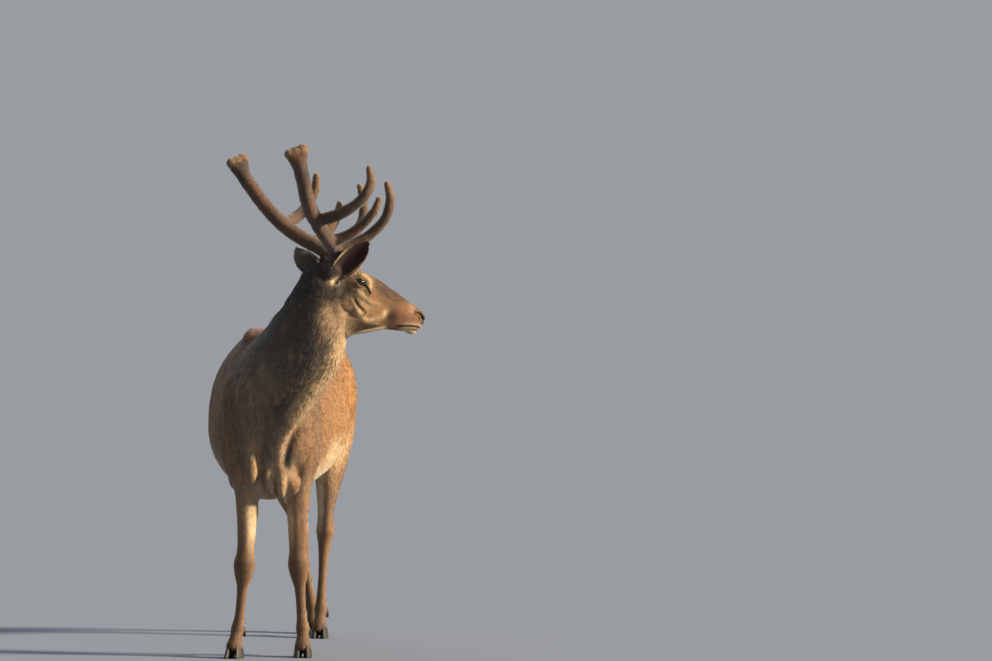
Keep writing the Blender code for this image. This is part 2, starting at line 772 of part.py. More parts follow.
BEZ = [
    (-0.045, 0.053, 0.038, 0.0200),
    (0.011, 0.080, 0.059, 0.0190),
    (0.057, 0.111, 0.094, 0.0172),
    (0.091, 0.143, 0.140, 0.0155),
    (0.107, 0.156, 0.186, 0.0115),
]
TREZ = [
    (-0.119, 0.145, 0.110, 0.0215),
    (-0.051, 0.200, 0.134, 0.0205),
    (0.007, 0.240, 0.177, 0.0190),
    (0.041, 0.247, 0.235, 0.0170),
    (0.043, 0.229, 0.292, 0.0120),
]
CROWN = [
    [(-0.236, 0.266, 0.312, 0.0240), (-0.262, 0.268, 0.336, 0.0215), (-0.280, 0.267, 0.346, 0.0160)],
    [(-0.236, 0.266, 0.312, 0.0240), (-0.230, 0.272, 0.346, 0.0215), (-0.222, 0.275, 0.366, 0.0170)],
    [(-0.236, 0.266, 0.312, 0.0240), (-0.246, 0.270, 0.340, 0.0225), (-0.250, 0.271, 0.350, 0.0200)],
]
# where the crown is parted from the beam, and the beam's heading there
FORK = ((-0.150, 0.150, 0.146), (-0.032, 0.037, 0.048))


def on_antler(side, forward, out, up):
    """A point of the antlers' frame, which is level apart from a slight roll and shares the head's heading."""
    ahead = Vector((math.cos(HEAD_YAW), math.sin(HEAD_YAW), 0))
    left = Vector((-math.sin(HEAD_YAW), math.cos(HEAD_YAW), -math.sin(ANTLER_ROLL)))
    along, rise, base_out = CORONET
    return on_head(along, rise, side * base_out) + ahead * forward + left * (side * out) + Vector((0, 0, up))


def tine(name, stations, side, count=8, steps=2):
    placed = [(*on_antler(side, forward, out, up), radius) for forward, out, up, radius in stations]
    rings = tube_rings(placed, steps, count)
    rings.append(rounded_end(rings[-1], rings[-2], 0.55, 0.62))
    rings.append(rounded_end(rings[-2], rings[-3], 0.80, 0.28))
    return loft(name, rings)


def rounded_end(last, before, reach, share):
    """One more ring past a tube's end, shrunk to that share, so that the end is blunt."""
    centre = sum(last, Vector()) / len(last)
    along = (centre - sum(before, Vector()) / len(before)).normalized()
    radius = (last[0] - centre).length
    return [centre + (p - centre) * share + along * radius * reach for p in last]


def make_antler(side, word, head):
    """The beam first: the tines give way to it, and it gives way to the head."""
    beam = tine("beam_form", BEAM, side, 10)
    buds = [tine(f"bud_{i}", rows, side) for i, rows in enumerate(CROWN)]
    beam = largest_only(trimmed(fused_tubes("beam_rough", [beam, *buds]), head))
    tines = [
        largest_only(trimmed(trimmed(tine(f"antler_{word}_{tine_word}", rows, side), beam), head))
        for tine_word, rows in (("brow", BROW), ("bez", BEZ), ("trez", TREZ))
    ]
    fork = on_antler(side, *FORK[0])
    heading = on_antler(side, *FORK[1]) - on_antler(side, 0, 0, 0)
    upper, lower = parted(beam, fork, heading, f"antler_{word}_crown", f"antler_{word}_beam")
    for piece in (lower, upper, *tines):
        dressed(piece, piece.name, VELVET)


def fused_tubes(name, tubes):
    first = tubes[0]
    for other in tubes[1:]:
        union = first.modifiers.new("join", "BOOLEAN")
        union.operation = "UNION"
        union.solver = "EXACT"
        union.object = other
        baked(first)
        drop(other)
    first.name = name
    return first


# ---------------------------------------------------------------- ears, eyes, tail
# share of the ear's length, half width, how deeply it is cupped
EAR = [
    (0.00, 0.026, 0.022),
    (0.14, 0.033, 0.024),
    (0.34, 0.044, 0.024),
    (0.56, 0.046, 0.019),
    (0.76, 0.036, 0.013),
    (0.90, 0.021, 0.007),
    (1.00, 0.006, 0.003),
]
EAR_THICK = 0.0065


def make_ear(name, root, tip, opening, neighbours, curl):
    """A cupped leaf from root to tip whose hollow side faces the opening direction."""
    axis = tip - root
    length = axis.length
    axis.normalize()
    face = (opening - axis * opening.dot(axis)).normalized()
    side = axis.cross(face).normalized()
    rings = []
    for share, half, cup in curve_through(EAR, 1):
        centre = root + axis * (share * length) - face * (curl * math.sin(math.pi * share))
        inner, outer = [], []
        for i in range(7):
            across = -1 + 2 * i / 6
            rise = cup * (across * across) * 1.15
            thick = EAR_THICK * (1 - 0.75 * across * across) * (1.3 - share * 0.7)
            point = centre + side * (half * across) + face * rise
            inner.append(point + face * thick * 0.5)
            outer.append(point - face * thick * 0.5)
        rings.append(inner + outer[::-1])
    ear = loft(name, rings)
    for neighbour in neighbours:
        trimmed(ear, neighbour)
    return dressed(largest_only(ear), name, FUR_FACE)


def make_eye(name, side):
    bm = bmesh.new()
    bmesh.ops.create_uvsphere(bm, u_segments=14, v_segments=8, radius=EYE_RADIUS)
    along, up, out = EYE_PLACE
    facing = (HEAD.to_3x3() @ Vector((0.25, side, 0.05))).to_track_quat("Z", "Y").to_matrix().to_4x4()
    bmesh.ops.transform(bm, matrix=Matrix.Translation(on_head(along, up, side * out)) @ facing, verts=bm.verts)
    return dressed(finish_mesh(name, bm), name, EYE)


# centre y and z, half width, half thickness
TAIL = [
    (0.650, 1.066, 0.026, 0.022),
    (0.683, 1.046, 0.031, 0.022),
    (0.702, 1.005, 0.032, 0.020),
    (0.710, 0.950, 0.025, 0.016),
    (0.708, 0.905, 0.010, 0.008),
]


def make_tail(rump):
    rows = [(0.0, y, z, half, thick) for y, z, half, thick in TAIL]
    tail = limb("tail", rows, 1, 10)
    return dressed(largest_only(trimmed(tail, rump)), "tail", FUR_BODY)


# ---------------------------------------------------------------- the stag
def make_stag():
    head, rump = part_flesh(*make_flesh())
    eyes = [make_eye("eye_right", -1), make_eye("eye_left", 1)]
    for eye in eyes:
        trimmed(head, eye)
    head = dressed(largest_only(head), "head", FUR_FACE)
    for side, word in SIDES:
        make_antler(side, word, head)
    around = (head, bpy.data.objects["nape"])
    near_root, near_tip = on_head(-0.108, -0.012, -0.050), on_head(-0.058, 0.149, -0.138)
    make_ear("ear_right", near_root, near_tip, HEAD.to_3x3() @ Vector((0.05, -0.95, -0.1)), around, 0.006)
    far_root, far_tip = on_head(-0.116, -0.002, 0.050), on_head(-0.190, 0.060, 0.200)
    make_ear("ear_left", far_root, far_tip, HEAD.to_3x3() @ Vector((0.55, 0.45, -0.6)), around, 0.006)
    make_tail(rump)
    for name in LEGS:
        pastern = bpy.data.objects[f"{name}_pastern"]
        cannon = bpy.data.objects[f"{name}_cannon"]
        x, y = station_at(name, 0.044)
        make_hooves(name, Vector((x, y, 0.044)), Vector((0, -0.35, 1)).normalized())
        make_dewclaws(name, (pastern, cannon))


def centred():
    """Moves the whole stag so that its origin is the middle of the bottom of its box."""
    corners = [v.co for piece in STAG.objects for v in piece.data.vertices]
    low = Vector(min(c[i] for c in corners) for i in range(3))
    high = Vector(max(c[i] for c in corners) for i in range(3))
    shift = Vector((-(low.x + high.x) / 2, -(low.y + high.y) / 2, -low.z))
    for piece in STAG.objects:
        piece.data.transform(Matrix.Translation(shift))


make_stag()
centred()
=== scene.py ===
# %% [markdown]
# # A red deer stag in velvet, standing still
# This lesson dresses a life-size stag: a body laid out in named solids already stands on the floor, and here it gets
# one smooth skin, a coat of tufts, living eyes, velvet antlers and horn hooves. The solids are loaded first, because
# everything else takes its place from them.

# %% Load the standing solids
import math

import bpy
import numpy as np
from mathutils import Matrix, Vector


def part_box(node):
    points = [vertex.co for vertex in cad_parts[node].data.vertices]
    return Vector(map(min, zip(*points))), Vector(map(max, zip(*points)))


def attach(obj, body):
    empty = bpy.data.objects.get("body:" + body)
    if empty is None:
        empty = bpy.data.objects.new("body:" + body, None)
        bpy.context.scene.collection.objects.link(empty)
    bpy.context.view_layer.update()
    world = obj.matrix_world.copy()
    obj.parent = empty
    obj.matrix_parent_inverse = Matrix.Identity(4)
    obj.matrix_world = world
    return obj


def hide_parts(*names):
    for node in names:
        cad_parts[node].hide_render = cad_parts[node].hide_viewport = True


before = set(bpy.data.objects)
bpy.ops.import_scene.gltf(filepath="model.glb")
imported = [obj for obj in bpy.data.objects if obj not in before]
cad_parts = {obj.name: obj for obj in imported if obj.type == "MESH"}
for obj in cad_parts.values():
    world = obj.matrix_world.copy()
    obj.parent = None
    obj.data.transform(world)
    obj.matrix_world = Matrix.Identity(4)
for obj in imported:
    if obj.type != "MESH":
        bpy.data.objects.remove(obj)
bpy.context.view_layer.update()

# %% [markdown]
# ## Where the head is
# A stag's head is easiest to shape in a frame of its own: along the muzzle, out to the side, and up. The head is
# turned 28 degrees and dips 24 degrees. The solids were moved so that they stand on the middle of the floor, and the
# two eyes tell how far, so the shapes below are made in the head's first place and set down by the same step.

# %% The head's frame and the step to the floor's middle
HEAD_CENTRE = Vector((0.332, -0.568, 1.368))
HEAD_YAW = math.radians(28)
HEAD_PITCH = math.radians(24)
EYE_PLACE = (-0.002, 0.012, 0.0605)  # along the muzzle, up, out to the side
EYE_RADIUS = 0.0185
HEAD = Matrix.Translation(HEAD_CENTRE) @ Matrix.Rotation(HEAD_YAW, 4, "Z") @ Matrix.Rotation(HEAD_PITCH, 4, "Y")
HEAD_TURN = np.array(HEAD.to_3x3())


def on_head(along, up, out=0.0):
    return HEAD @ Vector((along, out, up))


eye_corners = [Vector(corner) for name in ("eye_left", "eye_right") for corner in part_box(name)]
STEP = sum(eye_corners, Vector()) / 4 - on_head(EYE_PLACE[0], EYE_PLACE[1])
print("step to the floor's middle:", [round(c, 4) for c in STEP])

# %% [markdown]
# ## The camera, the light and the floor
# A wild stag is seen from far away, so the camera stands 24 m off with a long lens, a little above the floor and a
# little to one side. The big soft light is low on the stag's left, as an evening sun would be, and a weak one fills
# the other side. The floor is one plain plate, turned up at nowhere, so that every side can be seen.

# %% Camera
VIEW_TURN = math.radians(7)
VIEW_DIP = math.radians(2)
VIEW_DISTANCE = 24.0
DOTS_PER_METRE = 273.0  # how large the stag stands in the picture
FRAME_WIDTH = 992
CHEST = -0.4  # where the chest is, fore and aft: the camera turns about it
AIM_ASIDE, AIM_HEIGHT = 225.5, 1.196  # how far beside the chest the picture's middle lies, in dots, and how high
SENSOR = 36.0

view_right = Vector((math.cos(VIEW_TURN), math.sin(VIEW_TURN), 0))
view_ahead = Vector(
    (-math.sin(VIEW_TURN) * math.cos(VIEW_DIP), math.cos(VIEW_TURN) * math.cos(VIEW_DIP), -math.sin(VIEW_DIP))
)
view_up = view_right.cross(view_ahead)
aim = Vector((0, CHEST, 0)) + Vector((STEP.x, STEP.y, 0))
aim = aim + view_right * (AIM_ASIDE / DOTS_PER_METRE) + view_up * AIM_HEIGHT

camera_data = bpy.data.cameras.new("long_lens")
camera_data.sensor_width = SENSOR
camera_data.lens = DOTS_PER_METRE * VIEW_DISTANCE / FRAME_WIDTH * SENSOR
camera_data.clip_end = 300
camera = bpy.data.objects.new("camera", camera_data)
bpy.context.scene.collection.objects.link(camera)
turn = Matrix((view_right, view_up, -view_ahead)).transposed().to_4x4()
camera.matrix_world = Matrix.Translation(aim - view_ahead * VIEW_DISTANCE) @ turn
bpy.context.scene.camera = camera
print("camera height", round(camera.matrix_world.translation.z, 2), "lens", round(camera_data.lens, 1))


# %% Small helpers for work with operators
def deselect():
    if bpy.context.mode != "OBJECT":
        bpy.ops.object.mode_set(mode="OBJECT")
    bpy.ops.object.select_all(action="DESELECT")


def pick(*objects):
    """Selects only these objects, the first one active."""
    deselect()
    for one in objects:
        one.select_set(True)
    bpy.context.view_layer.objects.active = objects[0]


def apply_modifier(piece, kind, **settings):
    pick(piece)
    modifier = piece.modifiers.new(kind.lower(), kind)
    for key, value in settings.items():
        setattr(modifier, key, value)
    bpy.ops.object.modifier_apply(modifier=modifier.name)


def on_whole_mesh(**steps):
    """Runs mesh operators, each with its settings, on everything in the active piece."""
    bpy.ops.object.mode_set(mode="EDIT")
    bpy.ops.mesh.select_all(action="SELECT")
    for step, settings in steps.items():
        getattr(bpy.ops.mesh, step)(**settings)
    bpy.ops.object.mode_set(mode="OBJECT")


def join(name, pieces):
    pick(*pieces)
    bpy.ops.object.join()
    made = bpy.context.object
    bpy.ops.object.transform_apply(location=True, rotation=True, scale=True)
    made.name = made.data.name = name
    return made


def points_of(piece):
    places = np.empty(len(piece.data.vertices) * 3)
    piece.data.vertices.foreach_get("co", places)
    return places.reshape(-1, 3)


def normals_of(piece):
    found = np.empty(len(piece.data.vertices) * 3, np.float32)
    piece.data.vertex_normals.foreach_get("vector", found)
    return found.reshape(-1, 3).astype(float)


def put_points(piece, places):
    piece.data.vertices.foreach_set("co", np.ascontiguousarray(places, np.float32).ravel())
    piece.data.update()


def push_out(piece, rise):
    """Raises each vertex along its normal."""
    put_points(piece, points_of(piece) + normals_of(piece) * rise[:, None])


def dress(piece, material):
    piece.data.materials.clear()
    piece.data.materials.append(material)


def feed(tree, node, inputs):
    """Gives a node's inputs their values, or joins to them the outputs that are given."""
    for socket, value in inputs.items():
        if isinstance(value, bpy.types.NodeSocket):
            tree.links.new(value, node.inputs[socket])
        else:
            node.inputs[socket].default_value = value


def add_node(tree, kind, inputs=None, **settings):
    """Adds a shader node with its settings and inputs, and returns its outputs."""
    node = tree.nodes.new(f"ShaderNode{kind}")
    for key, value in settings.items():
        setattr(node, key, value)
    feed(tree, node, inputs or {})
    return node.outputs


def new_material(name):
    made = bpy.data.materials.new(name)
    made.use_nodes = True
    return made, made.node_tree, made.node_tree.nodes["Principled BSDF"]


# %% Light
def soft_sun(name, azimuth, height, strength, softness, colour):
    """A wide, soft lamp far away: azimuth is from the viewer round to the viewer's right, in degrees."""
    azimuth, height = math.radians(azimuth), math.radians(height)
    way = Vector((math.sin(azimuth) * math.cos(height), -math.cos(azimuth) * math.cos(height), math.sin(height)))
    deselect()
    bpy.ops.object.light_add(type="SUN", location=way * 12)
    lamp = bpy.context.object
    lamp.name = name
    lamp.data.energy = strength
    lamp.data.angle = math.radians(softness)
    lamp.data.color = colour
    lamp.rotation_euler = way.to_track_quat("Z", "Y").to_euler()


SUN, SUN_COLOUR, SUN_HEIGHT = 9.5, (1.0, 0.84, 0.62), 22
FILL, FILL_COLOUR, FILL_HEIGHT = 0.8, (0.88, 0.94, 1.0), 40
ROOM_LIGHT = (0.32, 0.335, 0.36)
soft_sun("evening_light", 84, SUN_HEIGHT, SUN, 8, SUN_COLOUR)
soft_sun("far_side_light", 205, FILL_HEIGHT, FILL, 40, FILL_COLOUR)

world = bpy.data.worlds.new("pale_room")
world.use_nodes = True
world.node_tree.nodes["Background"].inputs["Color"].default_value = (*ROOM_LIGHT, 1)
bpy.context.scene.world = world
bpy.context.scene.view_settings.view_transform = "Standard"


# %% Floor
deselect()
bpy.ops.mesh.primitive_plane_add(size=400, location=(0, 0, 0))
floor = bpy.context.object
floor.name = "floor"
floor_paint, tree, shader = new_material("pale_floor")
# the far floor gets the room's own brightness, so the two meet without a line
sun_down, fill_down = SUN * math.sin(math.radians(SUN_HEIGHT)), FILL * math.sin(math.radians(FILL_HEIGHT))
floor_colour = [
    room / (room + (sun_down * sun + fill_down * fill) / math.pi)
    for room, sun, fill in zip(ROOM_LIGHT, SUN_COLOUR, FILL_COLOUR)
]
feed(tree, shader, {"Base Color": (*floor_colour, 1), "Roughness": 1.0, "Specular IOR Level": 0.0})
dress(floor, floor_paint)

# %% [markdown]
# ## Forms under the skin
# A body is a few long round forms: the trunk, the neck, the skull, four legs, two ears and a tail. Each can be lofted
# through oval sections, and the muscles that stand out are squashed balls. A grid primitive with a row for each
# section and a column for each point of the oval is rolled into a tube, its seam is merged and its ends are filled.


# %% Curves and ovals
def mm(rows, plain=0):
    """Rows of millimetres made metres; the last columns, as many as plain says, stay as they are."""
    return [tuple(round(v / 1000, 6) for v in row[: len(row) - plain]) + row[len(row) - plain :] for row in rows]


def curve_through(rows, steps):
    """Rows of numbers on a smooth curve through the given rows, with that many steps between two of them."""
    rows = np.array(rows, float)
    rows = np.vstack([2 * rows[0] - rows[1], rows, 2 * rows[-1] - rows[-2]])
    t = np.linspace(0, 1, steps, endpoint=False)[:, None]
    found = []
    for a, b, c, d in zip(rows, rows[1:], rows[2:], rows[3:]):
        square, cube = 2 * a - 5 * b + 4 * c - d, 3 * b - a - 3 * c + d
        found.append(0.5 * (2 * b + (c - a) * t + square * t**2 + cube * t**3))
    return np.vstack([*found, rows[-2:-1]])


def unit(vectors):
    vectors = np.asarray(vectors, float)
    return vectors / np.maximum(np.linalg.norm(vectors, axis=-1, keepdims=True), 1e-12)


def tangents(line):
    return unit(np.vstack([line[1:], line[-1:]]) - np.vstack([line[:1], line[:-1]]))


def square_to(vectors, normals):
    """What is left of vectors when their part along the normals is taken away, made one long."""
    return unit(vectors - normals * np.sum(vectors * normals, axis=1)[:, None])


def oval(centre, side, up, half, rise, drop, top_power=2.0, low_power=2.0, count=48):
    angle = 2 * np.pi * (np.arange(count) + 0.5) / count
    c, s = np.cos(angle), np.sin(angle)
    power = np.where(s > 0, top_power, low_power)
    across = np.sign(c) * np.abs(c) ** (2 / power) * half
    height = np.sign(s) * np.abs(s) ** (2 / power) * np.where(s > 0, rise, drop)
    return np.asarray(centre) + across[:, None] * np.asarray(side) + height[:, None] * np.asarray(up)


forms = []


def loft(name, rings):
    """Rolls a grid primitive into a closed tube through rings of points."""
    rings = np.array(rings)
    deselect()
    bpy.ops.mesh.primitive_grid_add(x_subdivisions=rings.shape[1], y_subdivisions=len(rings) - 1, size=1)
    tube = bpy.context.object
    tube.name = name
    put_points(tube, np.concatenate([rings, rings[:, :1]], axis=1).reshape(-1, 3))
    steps = {"remove_doubles": {"threshold": 1e-6}, "fill_holes": {"sides": 0}}
    on_whole_mesh(**steps, normals_make_consistent={"inside": False})
    return tube


def ball(name, centre, radii, turn=None):
    """A squashed ball; on the head its radii run along the muzzle, out to the side and up."""
    deselect()
    bpy.ops.mesh.primitive_uv_sphere_add(segments=28, ring_count=16, radius=1)
    made = bpy.context.object
    made.name = name
    turn = HEAD.to_3x3().to_4x4() if turn is None else turn
    made.matrix_world = Matrix.Translation(centre) @ turn @ Matrix.Diagonal((*radii, 1))
    return made

# %% [markdown]
# ### The trunk
# A stag's ribs are deep and narrow at the breast, widest in the middle and tucked up at the flank. The withers and
# the croup are about level. As the neck turns one way, the rib cage swings a little the other way.

# %% Trunk
HIP_Y = 0.42
SPINE_BEND = 0.04
TRUNK = mm([  # along the body, top, floor, height of the widest line, half width, power of the top and of the floor
    (-618, 945, 755, 850, 55, 2.0, 2.0), (-585, 1020, 668, 850, 115, 2.0, 2.0), (-510, 1105, 606, 850, 160, 1.9, 1.9),
    (-420, 1180, 576, 850, 178, 2.1, 1.9), (-330, 1208, 576, 850, 196, 2.15, 2.0),
    (-220, 1196, 578, 840, 224, 2.15, 2.1), (-80, 1168, 580, 830, 248, 2.3, 2.1),
    (60, 1155, 590, 830, 256, 2.35, 2.1), (200, 1158, 620, 850, 244, 2.2, 2.1), (310, 1172, 665, 880, 216, 2.0, 2.0),
    (430, 1178, 725, 920, 205, 2.0, 2.0), (550, 1145, 775, 940, 180, 2.0, 2.0), (635, 1080, 830, 950, 135, 2.0, 2.0),
    (680, 1015, 890, 950, 70, 2.0, 2.0),
], 2)
MUSCLES = mm([  # out from the middle line, y, z, and the three radii
    (122, -500, 830, 48, 60, 85), (124, -335, 665, 36, 56, 60), (110, 250, 1070, 56, 80, 58),
    (128, 310, 775, 50, 70, 90),
])
SINGLE_MASSES = mm([  # the brisket's knobs, which hang a little to the left, and the withers: centre and radii
    (60, -546, 674, 64, 62, 84), (24, -584, 662, 32, 34, 52), (74, -588, 662, 26, 36, 62),
    (106, -566, 652, 36, 38, 48), (64, -552, 632, 42, 56, 42), (-34, -576, 718, 24, 50, 78),
    (-70, -300, 1162, 46, 110, 48),
])
SIDES = ((-1, "right"), (1, "left"))
ACROSS, UPWARD = np.eye(3)[[0, 2]]


def spine_shift(y):
    return np.where(y > HIP_Y, 0.0, -SPINE_BEND * (1 - (y / HIP_Y) ** 2))


trunk_rows = curve_through(TRUNK, 6)
trunk_rings = [
    oval((spine_shift(y), y, wide), ACROSS, UPWARD, half, top - wide, wide - low, tp, lp, 72)
    for y, top, low, wide, half, tp, lp in trunk_rows
]
forms.append(loft("trunk_form", trunk_rings))
for out, y, z, *radii in MUSCLES:
    for side, word in SIDES:
        centre = Vector((side * out + 0.6 * float(spine_shift(y)), y, z))
        forms.append(ball("muscle_form", centre, radii, Matrix.Identity(4)))
for x, y, z, *radii in SINGLE_MASSES:
    forms.append(ball("muscle_form", Vector((x, y, z)), radii, Matrix.Identity(4)))
print("trunk sections:", len(trunk_rows))

# %% [markdown]
# ### The legs
# From the shoulder blade down to the knee the foreleg is muscle, and below it there is only bone, tendon and skin.
# The hind leg bends at the hock. Each leg is one loft, and its stance moves the foot and fades out up the leg.

# %% Legs
FORELEG = mm([  # out from the middle line, y, z, half width across, half depth fore and aft
    (70, -320, 1140, 30, 80), (98, -335, 1050, 46, 112), (122, -375, 950, 58, 138), (130, -425, 850, 60, 142),
    (124, -430, 760, 60, 125), (108, -405, 680, 53, 100), (94, -392, 610, 46, 72), (90, -396, 530, 41, 56),
    (90, -404, 450, 35, 43), (92, -410, 385, 31, 34), (94, -413, 345, 34.5, 36), (96, -410, 300, 31, 31),
    (99, -405, 255, 20.5, 23.5), (103, -402, 190, 17.5, 21.5), (107, -400, 140, 19, 24), (110, -400, 108, 24, 29),
    (113, -412, 78, 21.5, 24), (115, -424, 48, 27, 30), (116, -434, 30, 24, 28),
])
HIND_LEG = mm([
    (85, 400, 1110, 48, 110), (106, 420, 1020, 71, 165), (118, 440, 920, 80, 195), (118, 440, 820, 79, 190),
    (114, 430, 730, 72, 155), (108, 440, 640, 60, 115), (98, 478, 560, 44, 80), (88, 520, 495, 34, 56),
    (82, 556, 445, 30.5, 47), (80, 572, 405, 32, 44), (78, 576, 360, 26, 34), (77, 570, 300, 19, 26),
    (76, 560, 220, 16.5, 22.5), (75, 550, 145, 19, 25), (75, 546, 110, 24, 30), (75, 532, 78, 21, 24.5),
    (75, 518, 48, 26, 30), (75, 506, 30, 23.5, 28),
])
STANCES = {  # side, height where the foot's move has faded out, the foot's move across and fore and aft, bow
    "foreleg_right": (-1, 0.95, -0.012, -0.03, 0.012),
    "foreleg_left": (1, 0.95, 0.002, 0.035, 0.008),
    "hindleg_right": (-1, 0.9, 0.078, 0.17, -0.018),
    "hindleg_left": (1, 0.9, -0.026, -0.045, -0.004),
}


def leg_rows(name):
    side, top, foot_x, foot_y, bow = STANCES[name]
    rows = np.array(FORELEG if name.startswith("fore") else HIND_LEG)
    share = np.clip(1 - rows[:, 2] / top, 0, None)
    swing = np.sin(np.pi * np.clip(rows[:, 2] / top, None, 1))
    rows[:, 0] = side * rows[:, 0] + share * foot_x + swing * bow
    rows[:, 1] += share * foot_y
    return rows


def limb_rings(rows, count=32):
    """Sections square to the limb's own line, from rows of x, y, z, half width and half depth."""
    line = rows[:, :3]
    along = tangents(line)
    side = square_to(ACROSS, along)
    depth = unit(np.cross(side, along))
    return [oval(c, s, d, w, h, h, count=count) for c, s, d, w, h in zip(line, side, depth, rows[:, 3], rows[:, 4])]


leg_lines = {name: curve_through(leg_rows(name), 5) for name in STANCES}
for name, rows in leg_lines.items():
    forms.append(loft(f"{name}_form", limb_rings(rows)))
print("legs:", ", ".join(leg_lines))

# %% [markdown]
# ### The neck
# The neck rises from the breast, turns with the head and grows narrow below the jaw. Its sections are deep from
# throat to nape, and each says which way its throat faces.

# %% Neck
NECK = mm([  # centre x, y, z, half depth, half width, and the heading of the throat in degrees from +X
    (-10, -240, 900, 170, 70, -90), (0, -320, 935, 225, 125, -90), (22, -425, 1000, 232, 158, -80),
    (75, -505, 1075, 182, 136, -62), (133, -560, 1145, 154, 118, -38), (182, -595, 1220, 133, 102, -10),
    (213, -612, 1300, 117, 88, 12), (238, -616, 1372, 100, 78, 28), (262, -604, 1420, 70, 60, 28),
], 1)
THROAT = mm([  # the windpipe's ridge, from the throat to the brisket: centre, half width, half depth
    (276, -592, 1228, 36, 40), (270, -580, 1165, 44, 48), (238, -580, 1090, 52, 56), (164, -588, 990, 56, 60),
    (106, -592, 910, 54, 58), (58, -588, 830, 48, 54), (20, -575, 750, 44, 50), (20, -560, 690, 36, 40),
])
forms.append(loft("throat_form", limb_rings(curve_through(THROAT, 5), 28)))
neck_line = curve_through(NECK, 6)
neck_along = tangents(neck_line[:, :3])
heading = np.radians(neck_line[:, 5])
throat = np.stack([np.cos(heading), np.sin(heading), np.zeros(len(heading))], axis=1)
neck_nape = -square_to(throat, neck_along)
neck_side = unit(np.cross(neck_along, neck_nape))
neck_rings = [
    oval(row[:3], s, n, row[4], row[3], row[3], 1.9, 2.1, 56) for row, s, n in zip(neck_line, neck_side, neck_nape)
]
forms.append(loft("neck_form", neck_rings))

# %% [markdown]
# ### The head
# The skull is a long wedge: a flat brow, a straight bridge of the nose and a deep jaw behind. On it lie the brow
# bones, the chewing muscles, the roots of the ears, the bony stems of the antlers, the wings of the nostrils and the
# chin.

# %% Skull
SKULL = mm([  # along the muzzle, top, bottom, height of the widest line, half width, power of the top and bottom
    (-160, 10, -60, -15, 40, 2.0, 2.0), (-130, 46, -90, -5, 58, 2.1, 2.0), (-85, 62, -115, 0, 66, 2.2, 1.9),
    (-35, 62, -128, 8, 70, 2.3, 1.8), (10, 60, -133, 10, 72, 2.4, 1.8), (50, 59, -134, 4, 65, 2.4, 1.8),
    (90, 56, -128, -4, 55, 2.4, 1.8), (130, 47, -115, -10, 47, 2.4, 1.9), (175, 40, -100, -16, 41, 2.4, 2.0),
    (220, 31, -86, -20, 37, 2.4, 2.1), (258, 25, -74, -22, 38, 2.3, 2.2), (285, 13, -60, -24, 33, 2.2, 2.2),
    (302, -4, -40, -22, 19, 2.0, 2.0),
], 2)
HEAD_MASSES = mm([  # along, up, out, and the three radii
    (4, 26, 52, 40, 28, 27), (-30, -58, 40, 62, 28, 56), (-112, 52, 48, 30, 27, 34), (-118, 4, 58, 34, 30, 34),
    (276, -6, 18, 22, 19, 19),
])
head_side, head_up = HEAD_TURN[:, 1], HEAD_TURN[:, 2]


def head_rings(rows, steps, count):
    """Sections along the muzzle, from rows of along, top, floor, widest height, half width and the two powers."""
    return [
        oval(on_head(along, wide), head_side, head_up, half, top - wide, wide - low, *powers, count=count)
        for along, top, low, wide, half, *powers in curve_through(rows, steps)
    ]


forms.append(loft("skull_form", head_rings(SKULL, 6, 56)))
for along, up, out, *radii in HEAD_MASSES:
    for side, word in SIDES:
        forms.append(ball("head_form", on_head(along, up, side * out), radii))
forms.append(ball("chin_form", on_head(0.262, -0.06), (0.03, 0.022, 0.018)))
THROAT_LATCH = mm([  # the soft throat below the jaw: along, top, floor, height of the widest line, half width
    (-75, -60, -165, -100, 30), (-40, -60, -196, -100, 40), (0, -60, -208, -100, 42), (35, -60, -198, -100, 40),
    (70, -60, -174, -95, 36), (105, -60, -148, -90, 32), (140, -60, -124, -85, 28), (170, -60, -104, -80, 22),
])
forms.append(loft("latch_form", head_rings(THROAT_LATCH, 5, 40)))

# %% [markdown]
# ### The ears and the tail
# An ear is a cupped leaf on a round root. The right one turns its hollow to the viewer and the left one turns away.
# The tail is short and lies against the rump.

# %% Ears and tail
EAR = [  # share of the ear's length, half width, how deeply it is cupped
    (0.0, 0.026, 0.022), (0.14, 0.033, 0.024), (0.34, 0.044, 0.024), (0.56, 0.046, 0.019), (0.76, 0.036, 0.013),
    (0.9, 0.021, 0.007), (1.0, 0.006, 0.003),
]
EARS = {  # root, tip, and the way the hollow faces, in the head's frame
    "ear_right": (on_head(-0.108, -0.012, -0.05), on_head(-0.058, 0.149, -0.138), (0.05, -0.95, -0.1)),
    "ear_left": (on_head(-0.116, -0.002, 0.05), on_head(-0.19, 0.06, 0.2), (0.55, 0.45, -0.6)),
}
TAIL = mm([  # x, y, z, half width, half thickness
    (0, 640, 1074, 26, 22), (0, 673, 1046, 30, 22), (0, 689, 1005, 30, 19), (0, 693, 950, 25, 15),
    (0, 687, 902, 10, 8),
])


def ear_frame(name):
    """The ear's root, its axis, its length, the way its hollow faces and its side."""
    root, tip, opening = EARS[name]
    axis = np.array(tip - root)
    length = np.linalg.norm(axis)
    axis = axis / length
    opening = HEAD_TURN @ np.array(opening)
    face = unit(opening - axis * (opening @ axis))
    return np.array(root), axis, length, face, np.cross(axis, face)


